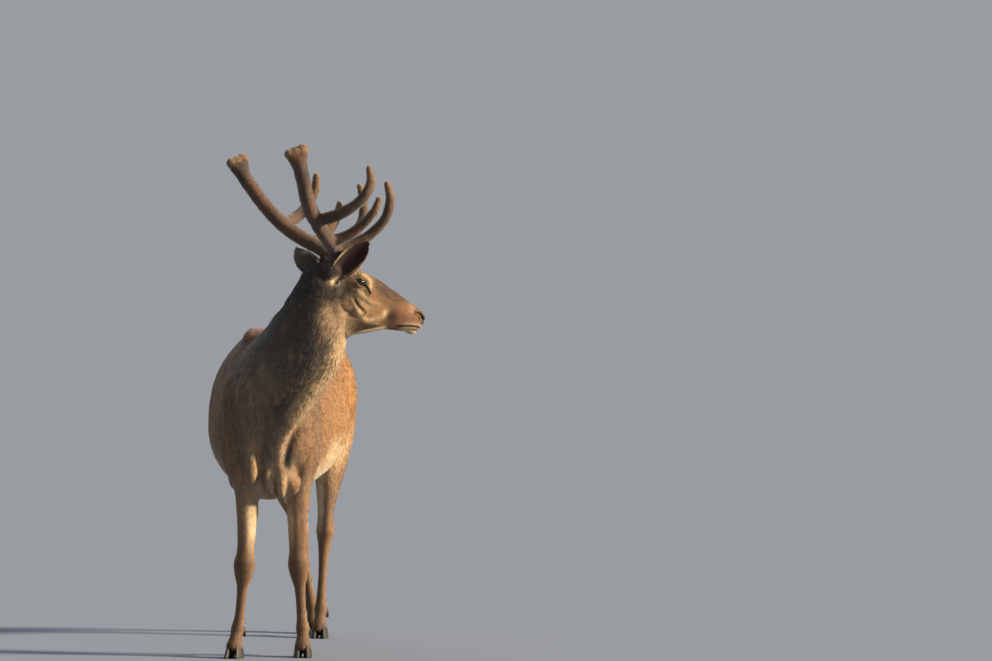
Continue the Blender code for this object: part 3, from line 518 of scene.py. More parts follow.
def ear_rings(name, curl=0.006, across_points=17):
    root, axis, length, face, side = ear_frame(name)
    across = np.linspace(-1, 1, across_points)[:, None]
    rings = []
    for share, half, cup in curve_through(EAR, 5):
        centre = root + axis * (share * length) - face * (curl * math.sin(math.pi * share))
        middle = centre + side * (half * across) + face * (cup * across**2 * 1.15)
        thick = 0.0078 * (1 - 0.45 * across**4) * (1.15 - share * 0.25)
        rings.append(np.vstack([middle + face * thick * 0.5, (middle - face * thick * 0.5)[::-1]]))
    return rings


for name in EARS:
    forms.append(loft(f"{name}_form", ear_rings(name)))
tail_line = curve_through(TAIL, 5)
forms.append(loft("tail_form", limb_rings(tail_line, 24)))
print("forms:", len(forms))

# %% [markdown]
# ## One skin
# Real skin runs over all of these without a seam. A voxel remesh melts the overlapping forms into one surface and a
# smoothing pass rounds the creases between them. The cells are small because an ear is thin, so the broad trunk is
# thinned again by a decimate that is led by a vertex group, and the face keeps its fine mesh.

# %% Melt the forms into a skin
CELL = 0.0036


def melt(name, pieces, cell, passes):
    """Joins pieces and remeshes them as one smooth surface."""
    made = join(name, pieces)
    apply_modifier(made, "REMESH", mode="VOXEL", voxel_size=cell, adaptivity=0.0)
    apply_modifier(made, "SMOOTH", factor=0.5, iterations=passes)
    return made


skin = melt("skin", forms, CELL, 7)
print("skin:", len(skin.data.polygons), "faces")


# %% Where a point lies in the head's frame
def in_head(places):
    """Rows of along the muzzle, out to the left and up."""
    return (places - np.array(HEAD_CENTRE)) @ HEAD_TURN


def from_head(local):
    return np.array(HEAD_CENTRE) + local @ HEAD_TURN.T


def ramp(values, low, high):
    """0 below low, 1 above high, and a smooth rise between them."""
    t = np.clip((values - low) / (high - low), 0, 1)
    return t * t * (3 - 2 * t)


def fall(values, low, high):
    """1 below low, 0 above high, and a smooth fall between them."""
    return ramp(-values, -high, -low)


def ridge(gap, width):
    """1 where the gap is 0, fading out on both sides."""
    return np.exp(-((gap / width) ** 2))


def hill(places, centre, radii):
    """1 at the centre, fading to 0 over the radii."""
    gap = (places - np.array(centre)) / np.array(radii)
    return np.exp(-np.sum(gap * gap, axis=1))


# %% Thin the broad parts of the skin
def with_group(piece, rows, kind, **settings):
    """Applies a modifier through a vertex group made from rows of vertices and their weight."""
    group = piece.vertex_groups.new(name="chosen")
    for chosen, weight in rows:
        group.add(np.nonzero(chosen)[0].tolist(), weight, "REPLACE")
    apply_modifier(piece, kind, vertex_group="chosen", **settings)
    piece.vertex_groups.clear()


def triangles_in(piece):
    return sum(len(p.vertices) - 2 for p in piece.data.polygons)


def thin_where(piece, chosen, keep):
    """Leaves that share of the triangles where the vertices are chosen, and all of them elsewhere."""
    sizes = np.array([len(p.vertices) - 2 for p in piece.data.polygons])
    first = np.array([p.vertices[0] for p in piece.data.polygons])
    ratio = 1 - sizes[chosen[first]].sum() * (1 - keep) / sizes.sum()
    with_group(piece, [(chosen, 1.0)], "DECIMATE", ratio=ratio, vertex_group_factor=1.0)


def soften_where(piece, weights, passes):
    """Smooths the skin where the weights are above 0, and most where they are 1."""
    rows = [(np.abs(weights - level) <= 0.125, level) for level in (0.25, 0.5, 0.75, 1.0)]
    with_group(piece, rows, "SMOOTH", factor=0.5, iterations=passes)


def face_distance(places):
    return np.linalg.norm((in_head(places) - np.array((0.05, 0, 0.0))) * np.array((1, 1, 0.8)), axis=1)


def breast_zone(places):
    return (places[:, 1] < -0.5) & (places[:, 2] < 1.16) & (np.abs(places[:, 0] - 0.08) < 0.19)


for zone, keep in (
    (lambda p: (face_distance(p) > 0.27) & (p[:, 2] > 0.46) & ~breast_zone(p), 0.06),
    (breast_zone, 0.35),
    (lambda p: p[:, 2] <= 0.46, 0.25),
    (lambda p: (face_distance(p) > 0.17) & (face_distance(p) < 0.27), 0.5),
):
    thin_where(skin, zone(points_of(skin)), keep)
places = points_of(skin)
broad = ramp(places[:, 2], 0.5, 0.62) * ramp(face_distance(places), 0.26, 0.36)
soften_where(skin, broad * fall(np.abs(places[:, 1] + 0.02), 0.66, 0.8), 9)
for centre, radii, passes in (
    ((-0.02, -0.26, 1.08), (0.2, 0.14, 0.12), 12),
    ((0.1, -0.3, 1.06), (0.1, 0.14, 0.12), 30),
    ((-0.075, -0.3, 1.18), (0.1, 0.16, 0.07), 16),
    ((0.08, -0.58, 0.65), (0.09, 0.08, 0.09), 8),
    ((0.29, -0.6, 1.16), (0.07, 0.08, 0.08), 30),
    ((-0.05, -0.6, 0.93), (0.13, 0.1, 0.09), 50),
    ((0.115, 0.25, 1.09), (0.09, 0.12, 0.08), 30),
    ((-0.115, 0.25, 1.09), (0.09, 0.12, 0.08), 30),
    ((0.16, 0.31, 0.78), (0.09, 0.12, 0.14), 20),
    ((-0.16, 0.31, 0.78), (0.09, 0.12, 0.14), 20),
    (tuple(on_head(-0.118, 0.004, 0.075)), (0.03, 0.03, 0.03), 8),
    (tuple(on_head(-0.118, 0.004, -0.075)), (0.03, 0.03, 0.03), 8),
):
    soften_where(skin, hill(places, centre, radii), passes)
print("thinned skin:", triangles_in(skin), "triangles")


# %% Split the faces of the face, and again around the eyes
def split_faces(piece, chosen):
    """Subdivides the faces whose first corner is chosen."""
    pick(piece)
    first = np.array([p.vertices[0] for p in piece.data.polygons])
    bpy.ops.object.mode_set(mode="EDIT")
    bpy.ops.mesh.select_mode(type="FACE")
    bpy.ops.mesh.select_all(action="DESELECT")
    bpy.ops.object.mode_set(mode="OBJECT")
    piece.data.polygons.foreach_set("select", chosen[first])
    bpy.ops.object.mode_set(mode="EDIT")
    bpy.ops.mesh.subdivide(number_cuts=1, smoothness=0)
    bpy.ops.object.mode_set(mode="OBJECT")


EYES = {word: np.array((EYE_PLACE[0], side * EYE_PLACE[2], EYE_PLACE[1])) for side, word in SIDES}


def close_to_eyes(local, reach):
    return np.min([np.linalg.norm(local - eye, axis=1) for eye in EYES.values()], axis=0) < reach


local = in_head(points_of(skin))
muzzle_front = (local[:, 0] > 0.195) & (np.abs(local[:, 1]) < 0.07) & (np.abs(local[:, 2]) < 0.12)
split_faces(skin, muzzle_front | close_to_eyes(local, 0.055))
split_faces(skin, close_to_eyes(in_head(points_of(skin)), 0.031))
apply_modifier(skin, "SMOOTH", factor=0.4, iterations=2)
print("skin with a fine face:", triangles_in(skin), "triangles")

# %% [markdown]
# ## Reading the body
# The hair's length, its lie and its colour all follow the body: down the legs, back along the ribs, from the nose to
# the crown. So each form keeps its line as a bone. For any point the script finds how near each bone's own
# surface it lies, how far along the bone, and where around it. The same reading shapes the skin and plants the coat.

# %% Bones
BONE_NAMES = ["trunk", "neck", "head", "ear_right", "ear_left", "tail", *STANCES]


def bone(line, side, depth, half, rise, drop=None):
    line = np.asarray(line, float)
    spread = {"side": side, "depth": depth, "half": half, "rise": rise, "drop": rise if drop is None else drop}
    shapes = {key: line.shape if key in ("side", "depth") else len(line) for key in spread}
    spread = {key: np.broadcast_to(value, shapes[key]).astype(float) for key, value in spread.items()}
    return {"line": line, "along": tangents(line), **spread}


def limb_bone(rows):
    along = tangents(rows[:, :3])
    side = square_to(ACROSS, along)
    return bone(rows[:, :3], side, np.cross(side, along), rows[:, 3], rows[:, 4])


def ear_bone(name):
    root, axis, length, face, side = ear_frame(name)
    rows = curve_through(EAR, 5)
    return bone(root + axis * (rows[:, :1] * length), side, face, rows[:, 1], 0.016)


y, top, low, wide, half = trunk_rows[:, :5].T
BONES = {"trunk": bone(np.stack([spine_shift(y), y, wide], axis=1), ACROSS, UPWARD, half, top - wide, wide - low)}
BONES["neck"] = bone(neck_line[:, :3], neck_side, neck_nape, neck_line[:, 4], neck_line[:, 3])
along, top, low, wide, half = curve_through(SKULL, 6)[:, :5].T
skull_line = [on_head(a, w) for a, w in zip(along, wide)]
BONES["head"] = bone(skull_line, head_side, head_up, half, top - wide, wide - low)
BONES.update({name: ear_bone(name) for name in EARS})
BONES.update({name: limb_bone(rows) for name, rows in {"tail": tail_line, **leg_lines}.items()})


# %% Read a point against every bone
def read_body(places):
    """For each bone: how much a point belongs to it, how far along it and where around it the point lies."""
    belongs, alongs, arounds = [], [], []
    for name in BONE_NAMES:
        b = BONES[name]
        nearest = np.empty(len(places), int)
        for start in range(0, len(places), 20000):
            part = places[start : start + 20000]
            gap = np.sum(b["line"] ** 2, axis=1) - 2 * part @ b["line"].T
            nearest[start : start + 20000] = gap.argmin(axis=1)
        q = places - b["line"][nearest]
        across = np.sum(q * b["side"][nearest], axis=1)
        height = np.sum(q * b["depth"][nearest], axis=1)
        ahead = np.sum(q * b["along"][nearest], axis=1)
        x = across / b["half"][nearest]
        y = height / np.where(height > 0, b["rise"][nearest], b["drop"][nearest])
        z = np.clip(np.abs(ahead) / b["half"][nearest] - 0.3, 0, None)
        far = np.sqrt(x * x + y * y + z * z)
        belongs.append(ridge(np.clip(far - 1, 0, None), 0.22) + 1e-9 * np.exp(-far))
        alongs.append(nearest / (len(b["line"]) - 1))
        arounds.append(np.arctan2(height, across) / (2 * np.pi))
    belongs = np.array(belongs)
    # the neck's hair fades into the breast's and the shoulder's
    fade = ramp(alongs[1] + 0.05 * grain(places, 0.05, 7), 0.1, 0.46)
    given = belongs[1] * (1 - fade)
    belongs[1] -= given
    belongs[0] += given
    # the ears and the tail are small forms on big ones, and keep what is theirs
    for small in ("ear_right", "ear_left", "tail"):
        i = BONE_NAMES.index(small)
        others = [j for j in range(len(BONE_NAMES)) if j != i]
        belongs[others] *= 1 - ramp(belongs[i], 0.5, 0.95)
    return belongs / belongs.sum(axis=0), np.array(alongs), np.array(arounds)


def share_of(belongs, *names):
    return sum(belongs[BONE_NAMES.index(name)] for name in names)


# %% Soft noise that is the same on every run
def grain(places, cell, seed):
    """Smooth random values from -1 to 1 that change over one cell."""
    q = np.asarray(places, float) / cell
    base = np.floor(q).astype(np.int64)
    t = q - base
    t = t * t * (3 - 2 * t)
    total = np.zeros(len(q))
    for corner in range(8):
        step = np.array([(corner >> axis) & 1 for axis in range(3)])
        c = base + step
        key = (c[:, 0] * 73856093) ^ (c[:, 1] * 19349663) ^ (c[:, 2] * 83492791) ^ (seed * 2654435761)
        key = (key ^ (key >> 13)) * 1274126177 & 0x7FFFFFFF
        key = key ^ (key >> 15)
        weight = np.prod(np.where(step, t, 1 - t), axis=1)
        total += weight * ((key % 65536) / 32767.5 - 1)
    return total


# %% [markdown]
# ## Shaping the skin
# Under a coat that lies flat, every hollow and fold shows. The skin first sinks by the depth of the coat, deeper
# where the hair is long. Then the soft shapes are pressed in or raised, as a sculptor would: on the body the flank, the
# ribs, the fold behind the elbow and the breast, and on the face the sockets, lids, nostrils, lips and cheeks.

# %% Sink the skin by the coat's depth
NECK_DEPTH, BODY_DEPTH, LEG_DEPTH, FACE_DEPTH, EAR_DEPTH = 0.0085, 0.005, 0.0022, 0.0022, 0.0004


def coat_depth(places, belongs):
    legs = share_of(belongs, *STANCES)
    upper = ramp(places[:, 2], 0.4, 0.7)
    depth = share_of(belongs, "trunk", "tail") * BODY_DEPTH + share_of(belongs, "neck") * NECK_DEPTH
    depth = depth + legs * (LEG_DEPTH + (BODY_DEPTH - LEG_DEPTH) * upper)
    return depth + share_of(belongs, "head") * FACE_DEPTH + share_of(belongs, *EARS) * EAR_DEPTH


def relax(values, piece, passes):
    """Evens out values over the mesh by averaging along its edges."""
    edges = np.empty(len(piece.data.edges) * 2, np.int64)
    piece.data.edges.foreach_get("vertices", edges)
    a, b = edges.reshape(-1, 2).T
    count = np.bincount(a, minlength=len(values)) + np.bincount(b, minlength=len(values))
    for _ in range(passes):
        total = np.bincount(a, values[b], len(values)) + np.bincount(b, values[a], len(values))
        values = 0.5 * values + 0.5 * total / np.maximum(count, 1)
    return values


places = points_of(skin)
belongs, alongs, arounds = read_body(places)
depth = relax(coat_depth(places, belongs), skin, 20)
push_out(skin, -depth)
print("coat depth from", round(depth.min() * 1000, 1), "to", round(depth.max() * 1000, 1), "mm")


# %% Hollows and swellings of the body
RELIEF = mm([  # out from the middle line, y, z, three radii, and how far the skin rises (+) or sinks (-)
    (215, 270, 960, 100, 55, 100, -12), (240, -180, 880, 100, 35, 170, -7), (165, 285, 1105, 50, 45, 30, 7),
    (190, -330, 1060, 80, 18, 120, -5), (170, -430, 800, 60, 45, 60, 6), (120, -300, 640, 60, 30, 40, 6),
    (140, 330, 700, 50, 30, 60, 7), (150, 520, 860, 80, 30, 150, -5), (45, 500, 1165, 30, 80, 40, -4),
])
BREAST_RELIEF = mm([  # x, y, z, three radii, and the rise: folds beside the brisket and the edges of both upper arms
    (-36, -600, 750, 34, 80, 80, 5), (-34, -600, 665, 32, 80, 80, 4), (14, -600, 700, 24, 80, 80, -4),
    (-74, -560, 740, 22, 80, 90, -5), (48, -610, 672, 14, 80, 45, -5), (96, -600, 645, 13, 80, 34, -5),
    (122, -560, 705, 16, 80, 42, -14), (168, -500, 780, 13, 120, 130, 10), (188, -500, 800, 9, 120, 130, -7),
    (206, -460, 840, 11, 120, 110, 6), (-10, -620, 820, 28, 80, 110, -10), (-120, -560, 860, 30, 80, 120, -6),
])
places = points_of(skin)
rise = np.zeros(len(places))
for out, y, z, rx, ry, rz, push in RELIEF:
    for side, word in SIDES:
        rise += push * hill(places, (side * out + float(spine_shift(y)), y, z), (rx, ry, rz))
for x, y, z, rx, ry, rz, push in BREAST_RELIEF:
    rise += push * hill(places, (x, y, z), (rx, ry, rz))
RIDGE_LINE = np.array([  # z and x of the windpipe's sharp edge, from the brisket to the throat
    (0.7, 0.052), (0.74, 0.06), (0.78, 0.07), (0.825, 0.086), (0.877, 0.116),
    (0.93, 0.15), (0.98, 0.188), (1.03, 0.226), (1.085, 0.262), (1.165, 0.295),
])


def ridge_gap(places):
    """Signed distance from the windpipe's edge, seen from the front: above 0 on its left side."""
    heights, edge = RIDGE_LINE.T
    x = np.interp(places[:, 2], heights, edge)
    lean = np.interp(places[:, 2], heights, np.gradient(edge, heights))
    return (places[:, 0] - x) / np.sqrt(1 + lean**2)


gap = ridge_gap(places)
x, y, z = places.T
along_ridge = ramp(-y, 0.5, 0.58) * ramp(z, 0.66, 0.76) * fall(z, 1.08, 1.17)
rise += 0.008 * ridge(gap, 0.013) * along_ridge
rise += -0.0045 * ridge(gap + 0.036, 0.022) * along_ridge
rise += -0.009 * ridge(gap - 0.026, 0.012) * along_ridge * fall(z, 0.86, 0.93)
ribs = np.sin((y + 0.35 * (z - 0.8)) * 2 * np.pi / 0.052)
rise += 0.0012 * ribs * hill(places * np.array((0, 1, 1)), (0, 0.02, 0.84), (1, 0.15, 0.13))
push_out(skin, rise)


# %% Knees, hocks and tendons
places = points_of(skin)
belongs, alongs, arounds = read_body(places)
z = places[:, 2]
rise = np.zeros(len(places))
for name in STANCES:
    i = BONE_NAMES.index(name)
    mine, rearward = ramp(belongs[i], 0.3, 0.8), np.sin(2 * np.pi * arounds[i])
    groove = ridge(rearward - 0.3, 0.3)
    behind, sides = ramp(rearward, 0.3, 0.9), 1 - rearward**2
    if name.startswith("fore"):
        shape = 0.004 * ridge(z - 0.345, 0.042) * (1 - behind) + 0.0018 * fall(z, 0.3, 0.5)
        shape += 0.005 * behind * ridge(z - 0.375, 0.018)
        shape -= 0.0036 * groove * ramp(z, 0.12, 0.16) * fall(z, 0.24, 0.29)
        shape -= 0.003 * groove * ridge(z - 0.47, 0.05)
    else:
        shape = 0.0035 * sides * ridge(z - 0.405, 0.032) + 0.0012 * fall(z, 0.3, 0.45)
        shape -= 0.0085 * groove * ramp(z, 0.43, 0.48) * fall(z, 0.54, 0.64)
        shape -= 0.0034 * groove * ramp(z, 0.12, 0.16) * fall(z, 0.28, 0.33)
    rise += mine * shape
push_out(skin, rise)

# %% [markdown]
# ### The face
# A deer's eye bulges a little and is held by two lids that wrap its ball; the inner corner runs down into the slit of
# a scent gland. The nostrils are commas in a small bare pad, and the mouth is a thin line between soft lips. Vertices
# are moved in the head's frame: those near an eye go to the lid's sphere, and those in the opening go behind the ball.

# %% Lids and sockets
LID = 0.0019  # the lid's thickness over the ball
OPENING = 0.0172  # half the length of the opening between the lids
UPPER, LOWER = 0.0096, 0.0084


def eye_frame(side):
    facing = unit((0.25, side, 0.05))
    long_way = unit(np.array((1.0, 0.0, -0.3)) - facing * (0.25 - 0.015))
    long_way = unit(long_way - facing * (long_way @ facing))
    high = np.cross(facing, long_way) * side * -1
    high = high if high[2] > 0 else -high
    return facing, long_way, high


def lid_measure(local, side, word):
    """How far outside the opening a point is: below 1 it is inside. Also its offset from the eye's centre."""
    facing, long_way, high = eye_frame(side)
    q = local - EYES[word]
    x, y, z = q @ long_way, q @ high, q @ facing
    tall = np.where(y > 0, UPPER, LOWER)
    measure = (np.abs(x / OPENING) ** 1.8 + np.abs(y / tall) ** 1.8) ** (1 / 1.8)
    return measure, q, z


places = points_of(skin)
local = in_head(places)
for side, word in SIDES:
    measure, q, z = lid_measure(local, side, word)
    distance = np.linalg.norm(q, axis=1)
    near = (distance < 0.05) & (z > 0.002)
    wrap = fall(measure, 1.15, 2.3) * ramp(z, 0.002, 0.009)
    edge = ridge(measure - 1.12, 0.12) * 0.0007
    crease = ridge(measure - 1.65, 0.14) * 0.0012
    lid = EYE_RADIUS + LID + edge - crease
    hidden = EYE_RADIUS - 0.005
    target = np.where(measure < 1, hidden + (lid - 0.0006 - hidden) * ramp(measure, 0.86, 1.0), lid)
    reach = np.where(near, distance + (target - distance) * wrap, distance)
    local = EYES[word] + q * (reach / np.maximum(distance, 1e-9))[:, None]
put_points(skin, from_head(local))


# %% Nostrils, lips, cheeks and folds
def line_gap(local, points):
    """Distance to a line of along, up points, seen from the side, and the share along it."""
    p = local[:, (0, 2)]
    best = np.full(len(p), 1e9)
    share = np.zeros(len(p))
    points = np.array(points, float)
    for i, (a, b) in enumerate(zip(points, points[1:])):
        t = np.clip(((p - a) @ (b - a)) / ((b - a) @ (b - a)), 0, 1)
        gap = np.linalg.norm(p - (a + t[:, None] * (b - a)), axis=1)
        closer = gap < best
        best[closer] = gap[closer]
        share[closer] = (i + t[closer]) / (len(points) - 1)
    return best, share


MOUTH = mm([(200, -75), (218, -69), (236, -60), (256, -52), (280, -44), (310, -40)])
JAW = mm([(12, -70), (32, -80), (51, -95), (84, -101), (117, -89), (136, -63), (143, -42)])
GLAND = mm([(16.5, 8), (30, 4), (48, -9)])
FOLD = mm([(0, -44), (10, -55), (28, -66), (50, -75), (62, -77)])
FOLD_ABOVE = mm([(34, -36), (50, -44), (68, -49), (82, -47)])
CHEEKBONE = mm([(6, -22), (45, -36), (95, -36)])
BROW_BONE = mm([(-25, 40), (2, 42), (26, 31), (43, 15)])
NOSTRIL = mm([(258, 4), (268, 5), (279, -1), (286, -10)])
FACE_RELIEF = mm([  # along, out, up, three radii and the rise, on both sides
    (66, 55, 16, 26, 20, 12, -4), (40, 55, -86, 40, 30, 22, 3.8), (-40, 55, -60, 30, 30, 35, 1.2),
    (168, 40, -58, 24, 30, 30, -7), (85, 50, -74, 40, 30, 22, 3), (-45, 65, -10, 22, 22, 24, -3.5),
    (120, 45, -20, 35, 20, 16, -3), (215, 35, -20, 30, 20, 20, 1.8), (-70, 60, 22, 26, 20, 20, -4),
])
MIDDLE_RELIEF = mm([(30, 0, 60, 50, 14, 30, -3), (150, 0, 45, 60, 12, 30, 1.6), (300, 0, -15, 12, 1.8, 20, -1.4)])
places = points_of(skin)
local = in_head(places)
face = ridge(np.clip(face_distance(places) - 0.24, 0, None), 0.03)
outer = np.abs(local[:, 1]) > 0.026
rise = np.zeros(len(places))
gap, share = line_gap(local, MOUTH)
rise += -0.0046 * ridge(gap, 0.0017) * ramp(share, 0.0, 0.15)
rise += 0.0016 * ridge(gap - 0.0065, 0.004) * ramp(share, 0.05, 0.3)
gap, share = line_gap(local, JAW)
rise += 0.0048 * ridge(gap, 0.01) * ramp(share, 0.0, 0.3) * fall(share, 0.85, 1.0)
gap, share = line_gap(local, GLAND)
rise += outer * (-0.003 * ridge(gap, 0.0044) + 0.0015 * ridge(gap - 0.008, 0.003))
gap, share = line_gap(local, FOLD)
rise += outer * (-0.0028 * ridge(gap, 0.0056) * ramp(share, 0.0, 0.2) * fall(share, 0.75, 1.0))
rise += outer * 0.002 * ridge(gap - 0.01, 0.005) * ramp(share, 0.0, 0.3)
gap, share = line_gap(local, FOLD_ABOVE)
rise += outer * (-0.0016 * ridge(gap, 0.0052) * ramp(share, 0.0, 0.25) * fall(share, 0.75, 1.0))
gap, share = line_gap(local, CHEEKBONE)
rise += outer * 0.003 * ridge(gap, 0.01)
gap, share = line_gap(local, BROW_BONE)
rise += outer * 0.0026 * ridge(gap, 0.008) * ramp(share, 0.0, 0.2) * fall(share, 0.8, 1.0)
gap, share = line_gap(local, NOSTRIL)
wing = np.abs(local[:, 1]) > 0.007
rise += wing * (-0.0075 * ridge(gap, 0.0032 + 0.0022 * share) + 0.002 * ridge(gap - 0.0085, 0.0035))
both_sides = [(along, side * out, *rest) for side, word in SIDES for along, out, *rest in FACE_RELIEF]
for along, out, up, rx, ry, rz, push in both_sides + MIDDLE_RELIEF:
    rise += push * hill(local, (along, out, up), (rx, ry, rz))
push_out(skin, rise * face)
pick(skin)
bpy.ops.object.shade_smooth()

# %% [markdown]
# ## Colours of the coat
# A red deer in early summer is red-brown on the back and flanks, with a darker line along the spine, a greyer and
# shaggier neck, a cream belly and inner thighs, a buff rump patch and a tan face with a pale ring around the eye and
# pale lips. One function gives the colour of any point, so that the skin and the tufts over it match. It also
# paints light and shade into the coat: sunlit crests and strips, shadows under the ears and the jaw, dark creases.


# %% Tones
def tone(red, green, blue):
    """A colour as the eye names it, from 0 to 255, made linear."""
    c = np.array((red, green, blue)) / 255
    return np.where(c <= 0.04045, c / 12.92, ((c + 0.055) / 1.055) ** 2.4)


# The coat's own tones, and some for painted light and shade: jaw is the tan of sunlit hair and is used only for painted
# light, hollow and shade are painted shade, and pale, inner, spine, throat and neck_dark also serve in some painted
# marks below.
TONES = {
    "flank": tone(158, 114, 70), "red": tone(150, 76, 53), "back": tone(118, 82, 58), "spine": tone(80, 56, 44),
    "belly": tone(218, 190, 150), "shoulder": tone(114, 88, 66), "neck": tone(102, 88, 76),
    "neck_dark": tone(56, 51, 48), "neck_light": tone(170, 141, 110), "throat": tone(180, 150, 114),
    "leg": tone(146, 112, 82), "shin": tone(100, 77, 58), "inner": tone(196, 170, 136), "face": tone(140, 105, 72),
    "bridge": tone(66, 46, 34), "brow": tone(124, 86, 56), "muzzle": tone(138, 98, 70), "pink": tone(186, 142, 116),
    "pale": tone(212, 186, 148), "jaw": tone(188, 152, 112), "hollow": tone(80, 70, 62), "shade": tone(43, 36, 29),
    "nose": tone(66, 55, 51), "pad": tone(34, 28, 26), "ear": tone(104, 86, 72), "ear_rim": tone(196, 168, 134),
    "shaded_ear_hollow": tone(54, 22, 23), "rump": tone(206, 172, 126), "tail": tone(158, 118, 80),
    "velvet": tone(92, 72, 58), "velvet_red": tone(112, 72, 54), "velvet_dark": tone(58, 47, 42),
    "velvet_tip": tone(140, 112, 86),
}
FRONT_PAINTED_LIGHT_AND_MARKS = [  # tone, across, up, half width, half height, share: painted light, painted shade and a few marks of the coat on the forms in front
    # Painted light: the jaw, inner and pale rows, on the inner edge of the right upper arm, the brisket's knobs and the
    # inner front of the right foreleg. Painted shade: the shade row under the ear, the low spine rows in the brisket's
    # gaps and beside it, and the first neck_dark row, which is the dark poll and the ear's painted shadow. The ear_rim
    # row is the pale tuft at the ear's root.
    ("neck_dark", 0.205, 1.395, 0.11, 0.07, 0.85), ("throat", 0.262, 1.27, 0.03, 0.052, 0.6),
    ("spine", 0.292, 1.285, 0.01, 0.045, 0.7), ("jaw", -0.028, 0.755, 0.026, 0.075, 0.45),
    ("jaw", -0.022, 0.665, 0.018, 0.065, 0.5), ("spine", 0.012, 0.65, 0.01, 0.06, 0.55),
    ("inner", 0.034, 0.672, 0.016, 0.05, 0.7), ("jaw", 0.075, 0.655, 0.024, 0.05, 0.6),
    ("jaw", 0.11, 0.655, 0.018, 0.032, 0.6), ("shade", 0.304, 1.346, 0.05, 0.034, 0.95),
    ("ear_rim", 0.283, 1.386, 0.014, 0.01, 0.9), ("pale", -0.064, 0.53, 0.024, 0.09, 0.6),
    ("spine", 0.052, 0.64, 0.007, 0.035, 0.55), ("spine", 0.12, 0.53, 0.009, 0.11, 0.6),
]


# %% The colour of any point
def painted(colour, *layers):
    """Lays tones over a colour, one after another, each as thick as its mask."""
    for name, mask in layers:
        colour = colour + (TONES[name] - colour) * np.clip(mask, 0, 1)[:, None]
    return colour


def streaks_on(places):
    stretched = places * np.array((1, 1, 0.16))
    return grain(stretched, 0.009, 5) * 0.6 + grain(stretched, 0.022, 6) * 0.5


def painted_arm_light_and_shade(places, normals):
    """Painted light and shade down the front of the left upper arm: light streaks on its two ridges, a dark one in the
    groove.
    """
    x, y, z = places.T
    arm = ramp(-normals[:, 1], 0.25, 0.65) * ramp(-y, 0.3, 0.42) * ramp(z, 0.6, 0.72) * fall(z, 0.87, 0.95)
    rows = ((0.168, "tail", 0.01, 0.5), (0.187, "spine", 0.008, 0.6), (0.205, "tail", 0.009, 0.5))
    return [(name, arm * ridge(x - line - 0.02 * (z - 0.8), wide) * share) for line, name, wide, share in rows]


def body_and_neck_colours(places, normals, around_neck):
    x, y, z = places.T
    streak, gap = streaks_on(places), ridge_gap(places)
    under = ramp(-normals[:, 2], 0.15, 0.75) * fall(z, 0.66, 0.86)
    tuck = ramp(y, 0.02, 0.25) * fall(z, 0.72, 0.86)
    low_ribs = ramp(y, -0.24, -0.1) * fall(z, 0.72, 0.83)
    front = ramp(-y + 0.06 * grain(places, 0.1, 8), -0.14, 0.3)
    breast = ramp(-y + 0.08 * grain(places, 0.08, 9), 0.2, 0.5)
    # painted light: the stag's left side faces the light, so its breast keeps more of the flank's orange
    breast = breast * (1 - 0.5 * ramp(x, 0.1, 0.16))
    # painted light: the throat tone on the sunlit side of the windpipe's ridge
    lit_windpipe_crest = ridge(gap - 0.004, 0.017) * ramp(-y, 0.5, 0.6) * ramp(z, 0.66, 0.76)
    # painted shade in the groove beside the windpipe's ridge
    beside = ridge(gap - 0.034, 0.016) * ramp(-y, 0.5, 0.58) * fall(z, 0.86, 0.93)
    # painted shade on the neck's front, on the side of the windpipe's ridge away from the light
    shaded_neck_front = fall(gap, -0.038, -0.014) * ramp(gap, -0.15, -0.06) * ramp(-y, 0.46, 0.54)
    shaded_neck_front = shaded_neck_front * fall(z, 1.12, 1.22) * ramp(z, 0.8, 0.95)
    withers = np.clip(hill(places, (-0.06, -0.28, 1.215), (0.08, 0.22, 0.05)) * 1.2, 0, 1)
    body = painted(
        TONES["flank"],
        ("back", ramp(z, 0.9, 1.16)),
        ("spine", ridge(x - spine_shift(y), 0.035) * ramp(z, 1.05, 1.14) * 0.8),
        # painted light: less grey on the shoulder of the lit left side
        ("shoulder", front * (0.85 - 0.35 * ramp(x, 0.08, 0.16))),
        ("neck", breast * 0.8),
        ("neck_dark", breast * ramp(streak, 0.1, 0.7) * 0.5),
        ("neck_light", breast * ramp(-streak, 0.1, 0.7) * 0.4),
        ("red", withers * 0.6),
        ("belly", np.maximum(under, np.maximum(tuck, low_ribs) * 0.85) * (0.15 + 0.85 * ramp(y, -0.5, -0.34))),
        ("neck_dark", beside * ramp(z, 0.66, 0.72) * (0.75 + 0.5 * grain(places, 0.008, 11))),
        ("neck_dark", shaded_neck_front * 0.65),
        ("throat", lit_windpipe_crest * 0.8),
        *painted_arm_light_and_shade(places, normals),
        ("rump", ramp(y, 0.6, 0.665) * ridge(x, 0.12) * ramp(z, 0.78, 0.88) * 0.95),
    )
    neck = painted(
        TONES["neck"],
        ("neck_dark", ramp(streak, 0.05, 0.7) * 0.7),
        ("neck_light", ramp(-streak, 0.1, 0.7) * 0.6),
        ("neck_dark", ramp(np.sin(2 * np.pi * around_neck), -0.8, 0.2) * 0.75),
        ("neck_dark", ridge(np.abs(around_neck - 0.25), 0.05) * 0.6),
        ("throat", ridge(np.abs(around_neck + 0.25), 0.075) * 0.6),
        ("neck_dark", shaded_neck_front * 0.75),
        ("throat", lit_windpipe_crest * 0.7),
    )
    return body, neck


